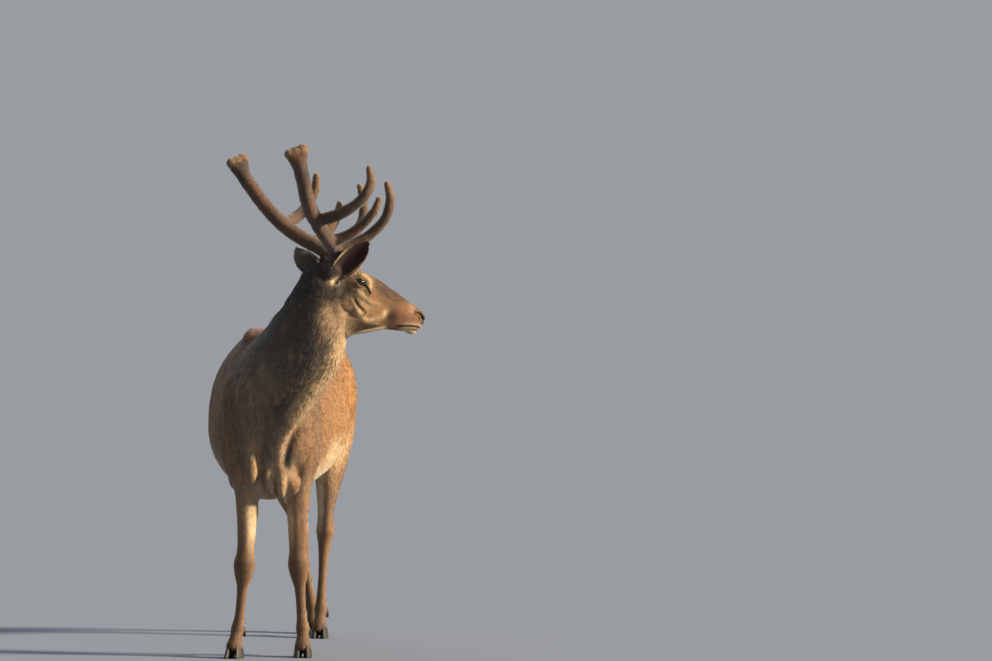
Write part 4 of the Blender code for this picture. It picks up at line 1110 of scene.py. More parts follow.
def leg_colours(places, normals, belongs):
    x, y, z = places.T
    inner_side = np.zeros(len(places))
    for name, (side, *rest) in STANCES.items():
        inner_side += belongs[BONE_NAMES.index(name)] * ramp(-normals[:, 0] * side, 0.0, 0.6)
    return painted(
        TONES["leg"],
        ("flank", ramp(z, 0.55, 0.8)),
        ("shoulder", ramp(z, 0.58, 0.78) * ramp(-y, 0.25, 0.45) * 0.8),
        ("shin", ramp(-normals[:, 1], 0.2, 0.9) * fall(z, 0.35, 0.6) * 0.8),
        ("shin", fall(z, 0.06, 0.14) * 0.6),
        ("pale", inner_side * ramp(z, 0.34, 0.52) * 0.85),
        *painted_arm_light_and_shade(places, normals),
    )


def face_colours(places):
    local = in_head(places)
    a, o, u = local[:, 0], np.abs(local[:, 1]), local[:, 2]
    side_face = ramp(o, 0.018, 0.034)
    lines = (JAW, FOLD, FOLD_ABOVE, BROW_BONE, MOUTH, NOSTRIL, GLAND)
    (jaw, on_jaw), (fold, on_fold), (above, on_above), (brow, _), (lip, on_lip), (nostril, _), (gland, _) = (
        line_gap(local, line) for line in lines
    )

    def spot(along, up, reach, rise):
        return np.exp(-(((a - along) / reach) ** 2) - ((u - up) / rise) ** 2)

    bridge_top = np.interp(a, (0.02, 0.06, 0.12, 0.18, 0.24), (0.058, 0.045, 0.032, 0.025, 0.018))
    band = ramp(u - bridge_top, -0.034, -0.018) * ramp(a, 0.035, 0.075) * fall(a, 0.195, 0.235)
    # painted highlight along the sunlit lower edge of the jaw
    lit_jaw_edge = ridge(jaw, 0.012) * ramp(on_jaw, 0.0, 0.2)
    over_floor = u - np.interp(a, np.array(THROAT_LATCH)[:, 0], np.array(THROAT_LATCH)[:, 2])
    jaw_edge = -u - np.interp(a, (0.0, 0.09, 0.14, 0.18), (0.112, 0.108, 0.094, 0.08))
    latch = ramp(a, -0.06, 0.03) * fall(a, 0.16, 0.2)
    around_eyes = []
    for side, word in SIDES:
        measure, q, ahead = lid_measure(local, side, word)
        around_eyes += [
            ("pale", ridge(measure - 1.85, 0.4) * (ahead > 0) * 0.45),
            ("pad", ridge(np.clip(measure - 1.0, 0, None), 0.24) * (ahead > 0) * 0.95),
            ("bridge", ridge(gland, 0.0085) * (o > 0.03) * 0.7),
            ("pad", ridge(gland, 0.0036) * (o > 0.03) * 0.35),
        ]
    return painted(
        TONES["face"],
        ("bridge", band * (0.75 + 0.25 * grain(places * np.array((0.4, 1, 1)), 0.008, 12))),
        ("brow", fall(a, -0.02, 0.03) * ramp(u, 0.02, 0.05) * 0.8),
        # the back of the head is darker: the poll's darker hair and painted shade from the ears and antlers
        ("neck_dark", fall(a, -0.1, -0.03) * 0.75),
        ("bridge", spot(0.1, 0.01, 0.04, 0.012) * 0.6),
        ("bridge", spot(0.18, 0.006, 0.026, 0.014) * 0.5),
        ("face", spot(0.1, -0.022, 0.04, 0.008) * 0.8),
        ("muzzle", ramp(a, 0.15, 0.2) * fall(u, 0.0, 0.03) * 0.8),
        # painted shade in the hollow behind the mouth's corner
        ("shade", spot(0.168, -0.056, 0.026, 0.03) * 0.85),
        # painted shadow of the ear, behind the eye
        ("shade", spot(-0.05, -0.026, 0.036, 0.036) * 1.3),
        # painted light on the cheek below the eye and along the cheekbone
        ("jaw", spot(0.066, -0.064, 0.05, 0.034) * 0.45),
        ("pale", spot(0.062, -0.044, 0.03, 0.009) * 0.6),
        ("jaw", lit_jaw_edge * side_face * 0.9),
        ("pale", lit_jaw_edge * ridge(jaw, 0.007) * side_face * 0.5),
        # painted shade in the two folds of the cheek
        ("bridge", ridge(fold, 0.0065) * side_face * fall(on_fold, 0.6, 1.0) * 0.7),
        ("bridge", ridge(above, 0.006) * side_face * fall(on_above, 0.6, 1.0) * 0.3),
        ("pale", ridge(brow, 0.009) * ramp(o, 0.01, 0.026) * 0.75),
        ("pale", spot(0.016, -0.027, 0.022, 0.012) * 0.8),
        ("pink", spot(0.236, 0.004, 0.013, 0.02) * 0.5),
        # painted shadow of the jaw on the throat below it
        ("shade", ramp(jaw_edge, 0.0, 0.008) * ramp(over_floor, 0.01, 0.018) * latch * 0.9),
        ("pale", fall(over_floor, 0.012, 0.022) * latch),
        # painted shade below the back of the jaw
        ("hollow", spot(0.012, -0.092, 0.012, 0.028) * 0.6),
        # painted shadow of the ear, below it
        ("shade", spot(-0.062, -0.052, 0.04, 0.026) * 0.9),
        ("pale", ridge(lip, 0.014) * ramp(a, 0.215, 0.24) * 0.8),
        ("pale", ramp(a, 0.215, 0.25) * ramp(-u, 0.052, 0.062)),
        ("ear_rim", spot(-0.1, -0.026, 0.015, 0.013) * (0.85 * ramp(o, 0.03, 0.05))),
        *around_eyes,
        ("nose", ramp(a, 0.276, 0.29) * ramp(u, -0.036, -0.026) * fall(u, 0.006, 0.014)),
        ("pad", ridge(nostril, 0.006) * (o > 0.006)),
        ("bridge", ridge(lip, 0.0055) * ramp(on_lip, 0.0, 0.12) * 0.6),
        ("pad", ridge(lip, 0.003) * ramp(on_lip, 0.0, 0.12) * 0.9),
    )


def ear_colours(places, normals, belongs, alongs):
    ears = np.tile(TONES["ear"], (len(places), 1))
    for name in EARS:
        i = BONE_NAMES.index(name)
        root, axis, length, face_way, side_way = ear_frame(name)
        hollow = ramp(normals @ face_way, 0.1, 0.5)
        rim = np.abs((places - root) @ side_way) / np.interp(alongs[i], *np.array(EAR).T[:2])
        base = fall(alongs[i], 0.02, 0.07) * hollow
        # the ear's hollow is dark maroon: its own reddish skin, darkened by painted shade
        layers = ("shaded_ear_hollow", hollow), ("ear_rim", ramp(rim, 0.74, 0.93) * hollow), ("ear_rim", base)
        ears = np.where((belongs[i] > 0.3)[:, None], painted(ears, *layers), ears)
    return ears


def coat_colour(places, normals, belongs, alongs, arounds):
    """Each form has its own colours, and where two forms meet their colours blend by how much a point is theirs."""
    body, neck = body_and_neck_colours(places, normals, arounds[1])
    parts = (
        (body, ("trunk",)),
        (neck, ("neck",)),
        (leg_colours(places, normals, belongs), STANCES),
        (face_colours(places), ("head",)),
        (ear_colours(places, normals, belongs, alongs), EARS),
        (TONES["tail"], ("tail",)),
    )
    colour = sum(own * share_of(belongs, *bones)[:, None] for own, bones in parts)
    # painted light and painted shade, and a few of the coat's own marks, on the forms seen from the front
    seen = ramp(0.15 * normals[:, 0] - normals[:, 1], 0.05, 0.35) * ramp(-places[:, 1], 0.2, 0.3)
    for name, across, up, wide, tall, share in FRONT_PAINTED_LIGHT_AND_MARKS:
        near = hill(places * np.array((1, 0, 1)), (across, 0, up), (wide, 1, tall)) * seen
        near = np.clip(near * 1.3, 0, 1) * (1 + 0.35 * grain(places, 0.01, 14))
        colour = painted(colour, (name, near * share))
    mottle = 1 + 0.07 * grain(places, 0.09, 1) + 0.05 * grain(places, 0.025, 2)
    return np.clip(colour * mottle[:, None], 0.002, 1)


# %% Colour the skin
def add_colours(mesh, name, colours):
    layer = mesh.color_attributes.new(name, "FLOAT_COLOR", "POINT")
    layer.data.foreach_set("color", np.column_stack([colours, np.ones(len(colours))]).astype(np.float32).ravel())


places, normals = points_of(skin), normals_of(skin)
belongs, alongs, arounds = read_body(places)
# the skin between the tufts is darker: painted shade under the hair
skin_shade_under_hair = 0.88 - 0.1 * share_of(belongs, "head")
skin_colour = coat_colour(places, normals, belongs, alongs, arounds)
add_colours(skin.data, "coat", skin_colour * skin_shade_under_hair[:, None])

# %% [markdown]
# ## The fur's finish
# Hair is a rough, slightly glossy fibre. Skin and tufts share a group that breaks the colour up into fine strokes;
# the skin also gets a bump of short strokes, since fur that lies flat shows mostly as that.


# %% Materials for fur
def fur_group():
    group = bpy.data.node_groups.new("fur_strokes", "ShaderNodeTree")
    for name, way, kind in (
        ("Colour", "INPUT", "Color"), ("Strength", "INPUT", "Float"), ("Fineness", "INPUT", "Float"),
        ("Colour", "OUTPUT", "Color"), ("Height", "OUTPUT", "Float"),
    ):
        group.interface.new_socket(name, in_out=way, socket_type=f"NodeSocket{kind}")
    inlet, outlet = group.nodes.new("NodeGroupInput").outputs, group.nodes.new("NodeGroupOutput")
    place = add_node(group, "TexCoord")["Object"]
    strokes = {"Vector": place, "Scale": inlet["Fineness"], "Detail": 4.0, "Roughness": 0.65}
    fine = add_node(group, "TexNoise", strokes)["Fac"]
    span = {"Value": fine, "From Min": 0.3, "From Max": 0.7, "To Min": -1.0, "To Max": 1.0}
    span = add_node(group, "MapRange", span)["Result"]
    scaled = add_node(group, "Math", {0: span, 1: inlet["Strength"], 2: 1.0}, operation="MULTIPLY_ADD")["Value"]
    shade = add_node(group, "VectorMath", {0: inlet["Colour"], "Scale": scaled}, operation="SCALE")["Vector"]
    feed(group, outlet, {"Colour": shade, "Height": fine})
    return group


FUR_STROKES = fur_group()


def fur_material(name, fineness, strength, bump, roughness=0.78, sheen=0.12):
    made, tree, shader = new_material(name)
    coat = add_node(tree, "Attribute", attribute_name="coat")["Color"]
    strokes = {"Colour": coat, "Fineness": fineness, "Strength": strength}
    strokes = add_node(tree, "Group", node_tree=FUR_STROKES, inputs=strokes)
    feed(tree, shader, {"Base Color": strokes["Colour"], "Roughness": roughness, "Specular IOR Level": 0.25})
    feed(tree, shader, {"Sheen Weight": sheen, "Sheen Roughness": 0.5})
    if bump:
        relief = add_node(tree, "Bump", {"Distance": bump, "Strength": 0.6, "Height": strokes["Height"]})
        feed(tree, shader, {"Normal": relief["Normal"]})
    return made


SKIN_FUR = fur_material("short_fur", 420.0, 0.22, 0.0015)
TUFT_FUR = fur_material("fur_tufts", 160.0, 0.12, 0.0, 0.7)
dress(skin, SKIN_FUR)

# %% [markdown]
# ## The coat
# Each tuft is a thin closed sliver of four triangles: a root sunk in the skin, two corners at its widest place and a
# tip. There are far too many to place by hand or to copy one by one, so one function works out all their corners with
# arrays and joins them in one mesh for each part of the body. Each tuft gets its own small patch on the OFBake map, at
# its root's place along and around its bone, which is an unwrap of the skin's own shape.


# %% Lie, length and width of the hair
def hair_at(places, normals, belongs, alongs):
    count = len(places)
    x, y, z = places.T
    flow = np.zeros((count, 3))
    trunk = np.tile((0.0, 1.0, -0.22), (count, 1))
    trunk[:, 2] -= 0.5 * ramp(np.abs(normals[:, 0]), 0.4, 1.0) + 1.3 * ramp(y, 0.42, 0.66)
    trunk[:, 2] -= 1.5 * ramp(-y, 0.44, 0.58)
    flow += trunk * share_of(belongs, "trunk")[:, None]
    for name in BONE_NAMES[1:]:
        i = BONE_NAMES.index(name)
        b = BONES[name]
        k = np.rint(alongs[i] * (len(b["line"]) - 1)).astype(int)
        way = b["along"][k] * (-1 if name in ("neck", "head") else 1)
        if name == "neck":
            way = unit(way + 0.25 * b["depth"][k])
        if name == "tail":
            way = np.tile((0.0, 0.15, -1.0), (count, 1))
        flow += way * belongs[i][:, None]
    turn = 0.2 * grain(places, 0.022, 11) + 0.1 * grain(places, 0.008, 12)
    flow = square_to(flow, normals)
    flow = unit(flow + np.cross(normals, flow) * turn[:, None])

    neck, head = share_of(belongs, "neck"), share_of(belongs, "head")
    ears, legs = share_of(belongs, *EARS), share_of(belongs, *STANCES)
    body, tail = share_of(belongs, "trunk"), share_of(belongs, "tail")
    leg_length = 0.011 + 0.012 * ramp(z, 0.35, 0.7) + 0.009 * fall(z, 0.055, 0.085)
    nearer_nose = ramp(in_head(places)[:, 0], -0.1, 0.16)
    length = body * 0.025 + neck * 0.033 + head * (0.014 - 0.008 * nearer_nose) + legs * leg_length
    length = length + ears * 0.01 + tail * (0.02 + 0.014 * fall(z, 0.96, 1.02))
    length = length * (1 - 0.35 * ramp(-y, 0.44, 0.54) * fall(z, 0.78, 0.92))
    for root, tip, way in EARS.values():
        beside_ear = hill(places, np.array(root) * 0.75 + np.array(tip) * 0.25, (0.05, 0.05, 0.05))
        length = length * (1 - 0.6 * beside_ear * (1 - ears))
    width = body * 0.0024 + neck * 0.0023 + head * (0.0017 - 0.0006 * nearer_nose)
    width = width + legs * (0.0015 + 0.07 * (leg_length - 0.011)) + ears * 0.0013 + tail * 0.0024
    lift = body * 0.06 + neck * 0.09 + head * 0.06 + legs * 0.07 + ears * 0.07 + tail * 0.08
    return flow, length, width, lift


# %% Corners of many tufts at once
TUFT_FACES = np.array([(0, 2, 1), (3, 1, 2), (0, 1, 3), (0, 3, 2)])


def tuft_corners(root, normal, flow, length, width, lift, bend):
    side = np.cross(flow, normal)
    n, f, s = normal, flow, side
    length, width, lift, bend = (v[:, None] for v in (length, width, lift, bend))
    middle = root + f * length * 0.42 + n * length * lift * 0.75
    thick = 0.26 * width
    return np.stack(
        [
            root - f * length * 0.06 - n * 0.001,
            middle - s * width * 0.5 + n * thick,
            middle + s * width * 0.5 + n * thick,
            root + f * length + s * length * bend + n * length * lift * 0.85,
        ],
        axis=1,
    )


def tuft_normals(normal, flow):
    """The tufts catch the light much as the skin below them does, a little rounded across."""
    side = np.cross(flow, normal)
    lean = ((0, -0.2), (-0.45, 0.0), (0.45, 0.0), (0, 0.35))
    return np.stack([unit(normal + across * side + ahead * flow) for across, ahead in lean], axis=1)


# %% A joined mesh of tufts
def mesh_of(name, corners, faces, normals):
    """One mesh from equal small shapes: corners and normals are shapes x corners x 3."""
    shapes, size = corners.shape[:2]
    loops = (faces[None] + np.arange(shapes)[:, None, None] * size).reshape(-1)
    mesh = bpy.data.meshes.new(name)
    mesh.vertices.add(shapes * size)
    mesh.vertices.foreach_set("co", corners.astype(np.float32).ravel())
    mesh.loops.add(len(loops))
    mesh.loops.foreach_set("vertex_index", loops.astype(np.int32))
    mesh.polygons.add(len(loops) // 3)
    mesh.polygons.foreach_set("loop_start", np.arange(0, len(loops), 3, dtype=np.int32))
    mesh.update(calc_edges=True)
    mesh.shade_smooth()
    mesh.normals_split_custom_set_from_vertices(normals.reshape(-1, 3).astype(np.float32))
    made = bpy.data.objects.new(name, mesh)
    bpy.context.scene.collection.objects.link(made)
    return made, loops


# %% Sow roots on a surface
def ground_of(piece):
    """The triangles of a piece, with their areas, for sowing tufts on it."""
    piece.data.calc_loop_triangles()
    triangles = np.empty(len(piece.data.loop_triangles) * 3, np.int32)
    piece.data.loop_triangles.foreach_get("vertices", triangles)
    triangles = triangles.reshape(-1, 3)
    points = points_of(piece)
    a, b, c = (points[triangles[:, i]] for i in range(3))
    areas = 0.5 * np.linalg.norm(np.cross(b - a, c - a), axis=1)
    return {"triangles": triangles, "points": points, "normals": normals_of(piece), "areas": areas}


def sow(ground, density, count, seed):
    """Roots and normals at random places, as dense as the values at the vertices say."""
    draw = np.random.default_rng(seed)
    chance = np.cumsum(ground["areas"] * density[ground["triangles"]].mean(axis=1))
    picked = np.searchsorted(chance, draw.random(count) * chance[-1])
    u, v = draw.random((2, count))
    flip = u + v > 1
    u, v = np.where(flip, 1 - u, u), np.where(flip, 1 - v, v)
    weights = np.stack([1 - u - v, u, v], axis=1)[:, :, None]
    corners = ground["triangles"][picked]
    root = np.sum(ground["points"][corners] * weights, axis=1)
    return root, unit(np.sum(ground["normals"][corners] * weights, axis=1)), draw


SKIN_GROUND = ground_of(skin)
skin_points, skin_normals = SKIN_GROUND["points"], SKIN_GROUND["normals"]
evened = np.stack([relax(skin_normals[:, i], skin, 4) for i in range(3)], axis=1)
openness = ramp(np.linalg.norm(evened, axis=1), 0.6, 0.88)  # 0 in a crease and on a sharp edge
print("skin area", round(SKIN_GROUND["areas"].sum(), 2), "square metres")


def bare(places):
    """1 on the nose pad, in the eyes' openings and in the mouth's line, where no hair grows."""
    local = in_head(places)
    along, out, up = local.T
    pad = ramp(along, 0.274, 0.286) * ramp(up, -0.036, -0.026) * fall(up, 0.008, 0.014)
    inside = np.max([fall(lid_measure(local, side, word)[0], 1.12, 1.25) for side, word in SIDES], axis=0)
    return np.clip(pad + inside * close_to_eyes(local, 0.035), 0, 1)


# %% Grow one piece of coat
PATCH = 0.003  # size of a tuft's patch on its map
TUFT_STEP = np.array([(-0.5, -0.5), (0.5, -0.5), (-0.5, 0.5), (0.5, 0.5)])


def map_patches(piece, u, v, loops):
    """Gives each tuft its patch on the OFBake map, at its root's place on the unwrap."""
    spot = np.stack([np.clip(u, 0, 1), np.clip(v, 0, 1)], axis=1) * 0.99 + 0.005
    patch = spot[:, None, :] + TUFT_STEP[None] * PATCH
    layer = piece.data.uv_layers.new(name="OFBake")
    layer.data.foreach_set("uv", patch.reshape(-1, 2)[loops].astype(np.float32).ravel())


def grow(name, bones, density, count, seed, scale=1.0):
    root, normal, draw = sow(SKIN_GROUND, density * (0.03 + 0.97 * openness), count, seed)
    belongs, alongs, arounds = read_body(root)
    flow, length, width, lift = hair_at(root, normal, belongs, alongs)
    clump = grain(root, 0.016, 21)
    length = length * scale * (1 + 0.22 * draw.uniform(-1, 1, count) + 0.18 * clump)
    width = width * (1 + 0.25 * draw.uniform(-1, 1, count))
    lift = lift * (1 + 0.45 * draw.uniform(-1, 1, count) + 0.35 * clump)
    flow = unit(flow + np.cross(normal, flow) * (0.13 * draw.standard_normal(count))[:, None])
    corners = tuft_corners(root, normal, flow, length, width, lift, 0.1 * draw.standard_normal(count))
    piece, loops = mesh_of(name, corners + np.array(STEP), TUFT_FACES, tuft_normals(normal, flow))
    colour = coat_colour(root, normal, belongs, alongs, arounds)
    shade = 1 + 0.13 * draw.standard_normal(count) + 0.1 * clump
    along_tuft = np.array((0.78, 0.97, 0.97, 1.16))
    colours = colour[:, None, :] * np.clip(shade, 0.55, 1.5)[:, None, None] * along_tuft[None, :, None]
    add_colours(piece.data, "coat", colours.reshape(-1, 3))
    indices = [BONE_NAMES.index(b) for b in bones]
    own = np.argmax(belongs[indices], axis=0)
    row = np.arange(count)
    u = alongs[indices][own, row]
    low, high = np.percentile(u, (0.2, 99.8))
    map_patches(piece, (u - low) / (high - low), (arounds[indices][own, row] + 0.5 + own) / len(indices), loops)
    piece.data.materials.append(TUFT_FUR)
    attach(piece, "root")
    print(name, count, "tufts")


# %% The coat, piece by piece
places = skin_points
belongs, alongs, arounds = read_body(places)
hairy = 1 - bare(places)
x, y, z = places.T
trunk_share = share_of(belongs, "trunk") + share_of(belongs, *STANCES) * ramp(z, 0.56, 0.6)
fore, hind = fall(y, 0.05, 0.06), ramp(y, 0.05, 0.06)
left, right = ramp(x - spine_shift(y), -0.002, 0.002), ramp(spine_shift(y) - x, -0.002, 0.002)
low_legs = share_of(belongs, *STANCES) * fall(z, 0.56, 0.6)
quick = 1.0
TUFTS = 43000  # on the larger pieces, so that each stays under 200,000 triangles
FULL = int(TUFTS * quick)
body_bones = ("trunk", *STANCES)
grow("coat_front_right", body_bones, trunk_share * fore * right, FULL, 31)
grow("coat_front_left", body_bones, trunk_share * fore * left, FULL, 32)
grow("coat_hind_right", body_bones, trunk_share * hind * right, FULL, 33)
grow("coat_hind_left", body_bones, trunk_share * hind * left, FULL, 34)
grow("coat_neck", ("neck",), share_of(belongs, "neck"), FULL, 35)
ear_share = share_of(belongs, *EARS)
face_density = share_of(belongs, "head") * hairy * (1 + 1.5 * ramp(in_head(places)[:, 0], 0.0, 0.16))
face_density = face_density * (1 - ramp(ear_share, 0.2, 0.5))
grow("coat_face", ("head",), face_density, FULL, 36)
ear_density = ear_share * 1.5 + share_of(belongs, "tail")
grow("coat_ears_tail", ("ear_right", "ear_left", "tail"), ear_density, FULL // 3, 37)
grow("coat_forelegs", ("foreleg_right", "foreleg_left"), low_legs * (y < 0.1), int(FULL * 0.7), 38)
grow("coat_hindlegs", ("hindleg_right", "hindleg_left"), low_legs * (y > 0.1), int(FULL * 0.8), 39)

# %% [markdown]
# ## Antlers in velvet
# A growing antler is a soft, warm rod wrapped in velvet: thick, blunt and rounded at every tip. It can be made of tubes
# along curves. The beam, its three tines and the two buds of the crown are lofted one by one and melted together, so
# that each fork is rounded like the real one, and a noise adds the low lumps under the velvet.

# %% The antlers' curves
CORONET = (-0.125, 0.074, 0.055)  # along the muzzle, up, out to the side
ANTLER_ROLL = math.radians(4)
ANTLER = {  # rows of forward, out to the side, up and radius, from the coronet
    "beam": mm([
        (12, -12, -40, 23), (0, 0, 0, 25.5), (-52, 62, 45, 26.2), (-101, 111, 88, 26.5), (-142, 142, 133, 26.2),
        (-174, 179, 181, 25.5), (-200, 218, 233, 25), (-224, 252, 283, 25.5), (-240, 270, 322, 26.5),
    ]),
    "brow": mm([
        (-10, 6, 6, 21.5), (60, 18, 28, 20.5), (124, 38, 70, 19), (164, 67, 123, 17.5), (174, 88, 188, 15.8),
        (162, 90, 244, 11.5),
    ]),
    "bez": mm([
        (-45, 53, 38, 20), (11, 80, 59, 19), (57, 111, 94, 17.2), (91, 143, 140, 15.5), (107, 156, 186, 11.5),
    ]),
    "trez": mm([
        (-119, 145, 110, 21.5), (-51, 200, 134, 20.5), (7, 240, 177, 19), (41, 247, 235, 17), (43, 229, 292, 12),
    ]),
    "crown_fore": mm([(-230, 258, 296, 25), (-258, 268, 332, 23.5), (-274, 267, 342, 19)]),
    "crown_hind": mm([(-230, 258, 296, 25), (-230, 272, 342, 23.5), (-225, 275, 360, 20)]),
    "crown_middle": mm([(-230, 258, 296, 25), (-245, 270, 338, 24.5), (-248, 271, 348, 22.5)]),
}


def on_antler(side, forward, out, up):
    ahead = Vector((math.cos(HEAD_YAW), math.sin(HEAD_YAW), 0))
    left = Vector((-math.sin(HEAD_YAW), math.cos(HEAD_YAW), -math.sin(ANTLER_ROLL)))
    along, rise, base_out = CORONET
    return on_head(along, rise, side * base_out) + ahead * forward + left * (side * out) + Vector((0, 0, up))


def carried_frames(line):
    """Directions along a line, and a side that is carried from point to point without twisting."""
    along = tangents(line)
    side = unit(np.cross(along[0], UPWARD))
    sides = []
    for way in along:
        side = unit(side - way * (side @ way))
        sides.append(side)
    return along, np.array(sides), np.cross(along, np.array(sides))


def blunt_tube(rows, count=24):
    """Rings of a round tube with a domed end."""
    line, radius = rows[:, :3], rows[:, 3]
    along, side, up = carried_frames(line)
    rings = [oval(c, s, u, r, r, r, count=count) for c, s, u, r in zip(line, side, up, radius)]
    for reach, share in ((0.45, 0.88), (0.72, 0.66), (0.88, 0.36)):
        r = radius[-1] * share
        rings.append(oval(line[-1] + along[-1] * radius[-1] * reach, side[-1], up[-1], r, r, r, count=count))
    return rings


# %% Melt each antler together
ANTLER_CELL = 0.0031


def antler_rows(side, part):
    rows = [(*on_antler(side, forward, out, up), radius) for forward, out, up, radius in ANTLER[part]]
    return curve_through(rows, 6)


def make_antler(side, word):
    tubes = [loft(f"{part}_form", blunt_tube(antler_rows(side, part))) for part in ANTLER]
    antler = melt(f"antler_{word}", tubes, ANTLER_CELL, 12)
    crown = hill(points_of(antler), on_antler(side, -0.248, 0.268, 0.345), (0.07, 0.07, 0.06))
    soften_where(antler, crown, 28)
    places = points_of(antler)
    lumps = 0.0008 * grain(places, 0.024, 41) + 0.0002 * grain(places, 0.008, 42) - 0.0007
    coronet = np.linalg.norm(places - np.array(on_antler(side, 0.006, -0.006, -0.018)), axis=1)
    pearls = 0.003 * ridge(coronet - 0.022, 0.01) * (0.6 + 0.6 * grain(places, 0.007, 43))
    push_out(antler, lumps + pearls)
    pick(antler)
    bpy.ops.object.shade_smooth()
    return antler


antlers = {word: make_antler(side, word) for side, word in SIDES}
print("antlers:", [len(a.data.polygons) for a in antlers.values()], "faces each")

# %% [markdown]
# ### The finish of velvet
# Velvet is skin with short, dense, upright hairs: grey-brown, redder where the blood shows through, and paler toward
# the blunt tips. The colour is worked out for every point; then thousands of small tufts stand up from it.


# %% Colour and fuzz of the velvet
def velvet_reading(places, side):
    """For each point: the nearest tube, the share along it, and where around it."""
    best = np.full(len(places), 1e9)
    found = np.zeros((3, len(places)))
    for number, part in enumerate(ANTLER):
        rows = antler_rows(side, part)
        _, sides, ups = carried_frames(rows[:, :3])
        gap = np.sum((places[:, None] - rows[None, :, :3]) ** 2, axis=2)
        k = gap.argmin(axis=1)
        distance = np.sqrt(gap[np.arange(len(places)), k]) - rows[k, 3]
        closer = distance < best
        q = places - rows[k, :3]
        around = np.arctan2(np.sum(q * ups[k], axis=1), np.sum(q * sides[k], axis=1)) / (2 * np.pi)
        for i, values in enumerate((np.full(len(places), number), k / (len(rows) - 1), around)):
            found[i, closer] = values[closer]
        best[closer] = distance[closer]
    return found


def velvet_colour(places, reading):
    part, share, around = reading
    patches = grain(places, 0.045, 51)
    colour = painted(
        TONES["velvet"],
        ("velvet_red", ramp(patches, 0.0, 0.7) * 0.5),
        ("velvet_dark", ramp(-patches, 0.1, 0.8) * 0.6),
        ("velvet_tip", np.where(part == 0, 0.0, ramp(share, 0.62, 1.0)) * 0.65),
    )
    return np.clip(colour * (1 + 0.06 * grain(places, 0.01, 52))[:, None], 0.002, 1)


FUZZ = 14000  # hairs on each antler
VELVET_SKIN = fur_material("velvet_skin", 520.0, 0.2, 0.0009, 0.85, sheen=0.3)
VELVET_FUZZ = fur_material("velvet_fuzz", 200.0, 0.1, 0.0, 0.8, sheen=0.3)
for side, word in SIDES:
    antler = antlers[word]
    ground = ground_of(antler)
    reading = velvet_reading(ground["points"], side)
    add_colours(antler.data, "coat", velvet_colour(ground["points"], reading) * 0.85)
    dress(antler, VELVET_SKIN)
    count = int(FUZZ * quick)
    root, normal, draw = sow(ground, np.ones(len(ground["points"])), count, 60 + side)
    reading = velvet_reading(root, side)
    flow = square_to(unit(draw.standard_normal((count, 3))), normal)
    length = 0.0034 * draw.uniform(0.7, 1.3, count)
    width = 0.001 * draw.uniform(0.8, 1.2, count)
    corners = tuft_corners(root, normal, flow, length, width, draw.uniform(0.4, 1.0, count), np.zeros(count))
    fuzz, loops = mesh_of(f"fuzz_{word}", corners + np.array(STEP), TUFT_FACES, tuft_normals(normal, flow))
    # the tip of each velvet hair is twice as bright: a painted rim of light around the antlers
    shade = np.array((1.0, 1.2, 1.2, 2.0))[None, :] * draw.uniform(0.85, 1.15, count)[:, None]
    colours = velvet_colour(root, reading)[:, None, :] * shade[:, :, None]
    add_colours(fuzz.data, "coat", np.clip(colours, 0, 1).reshape(-1, 3))
    map_patches(fuzz, reading[1], (reading[2] + 0.5 + reading[0]) / len(ANTLER), loops)
    fuzz.data.materials.append(VELVET_FUZZ)
    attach(fuzz, "root")
    put_points(antler, points_of(antler) + np.array(STEP))
    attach(antler, "root")
    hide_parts(*[f"antler_{word}_{part}" for part in ("beam", "crown", "brow", "bez", "trez")])

# %% [markdown]
# ## Eyes
# A deer's eye is a dark, wet ball with a slightly domed cornea, a dark brown iris and a wide, level pupil. A ball
# primitive gets its dome by pushing out the rings near its pole, which is turned to look out and a little ahead. Each
# vertex remembers its place on the ball, and the nodes draw the iris and the pupil from that.


# %% The eye's finish
def eye_material():
    made, tree, shader = new_material("eye_wet")
    spot = add_node(tree, "Attribute", attribute_name="spot")["Vector"]
    parts = add_node(tree, "SeparateXYZ", {"Vector": spot})

    def within_oval(width, height, outside, inside):
        """A map range of the squared distance from the middle of an oval."""
        squares = {}
        for number, (axis, size) in enumerate((("X", width), ("Y", height))):
            scaled = add_node(tree, "Math", {0: parts[axis], 1: size}, operation="DIVIDE")["Value"]
            squares[number] = add_node(tree, "Math", {0: scaled, 1: 2.0}, operation="POWER")["Value"]
        total = add_node(tree, "Math", squares, operation="ADD")["Value"]
        return add_node(tree, "MapRange", {"Value": total, "From Min": outside, "From Max": inside})["Result"]

    def blend(share, below, above):
        return add_node(tree, "Mix", data_type="RGBA", inputs={"Factor": share, "A": below, "B": above})["Result"]

    fibres = add_node(tree, "TexNoise", {"Vector": spot, "Scale": 9.0, "Detail": 5.0})["Fac"]
    iris = blend(fibres, (0.014, 0.006, 0.003, 1), (0.04, 0.018, 0.008, 1))
    ball_around = blend(within_oval(1.0, 1.0, 0.34, 0.48), iris, (0.008, 0.005, 0.004, 1))
    pupil = blend(within_oval(0.36, 0.2, 1.15, 0.9), ball_around, (0.002, 0.002, 0.003, 1))
    feed(tree, shader, {"Base Color": pupil, "Roughness": 0.12, "Specular IOR Level": 0.2})
    feed(tree, shader, {"Coat Weight": 0.8, "Coat Roughness": 0.02})
    return made


EYE_WET = eye_material()


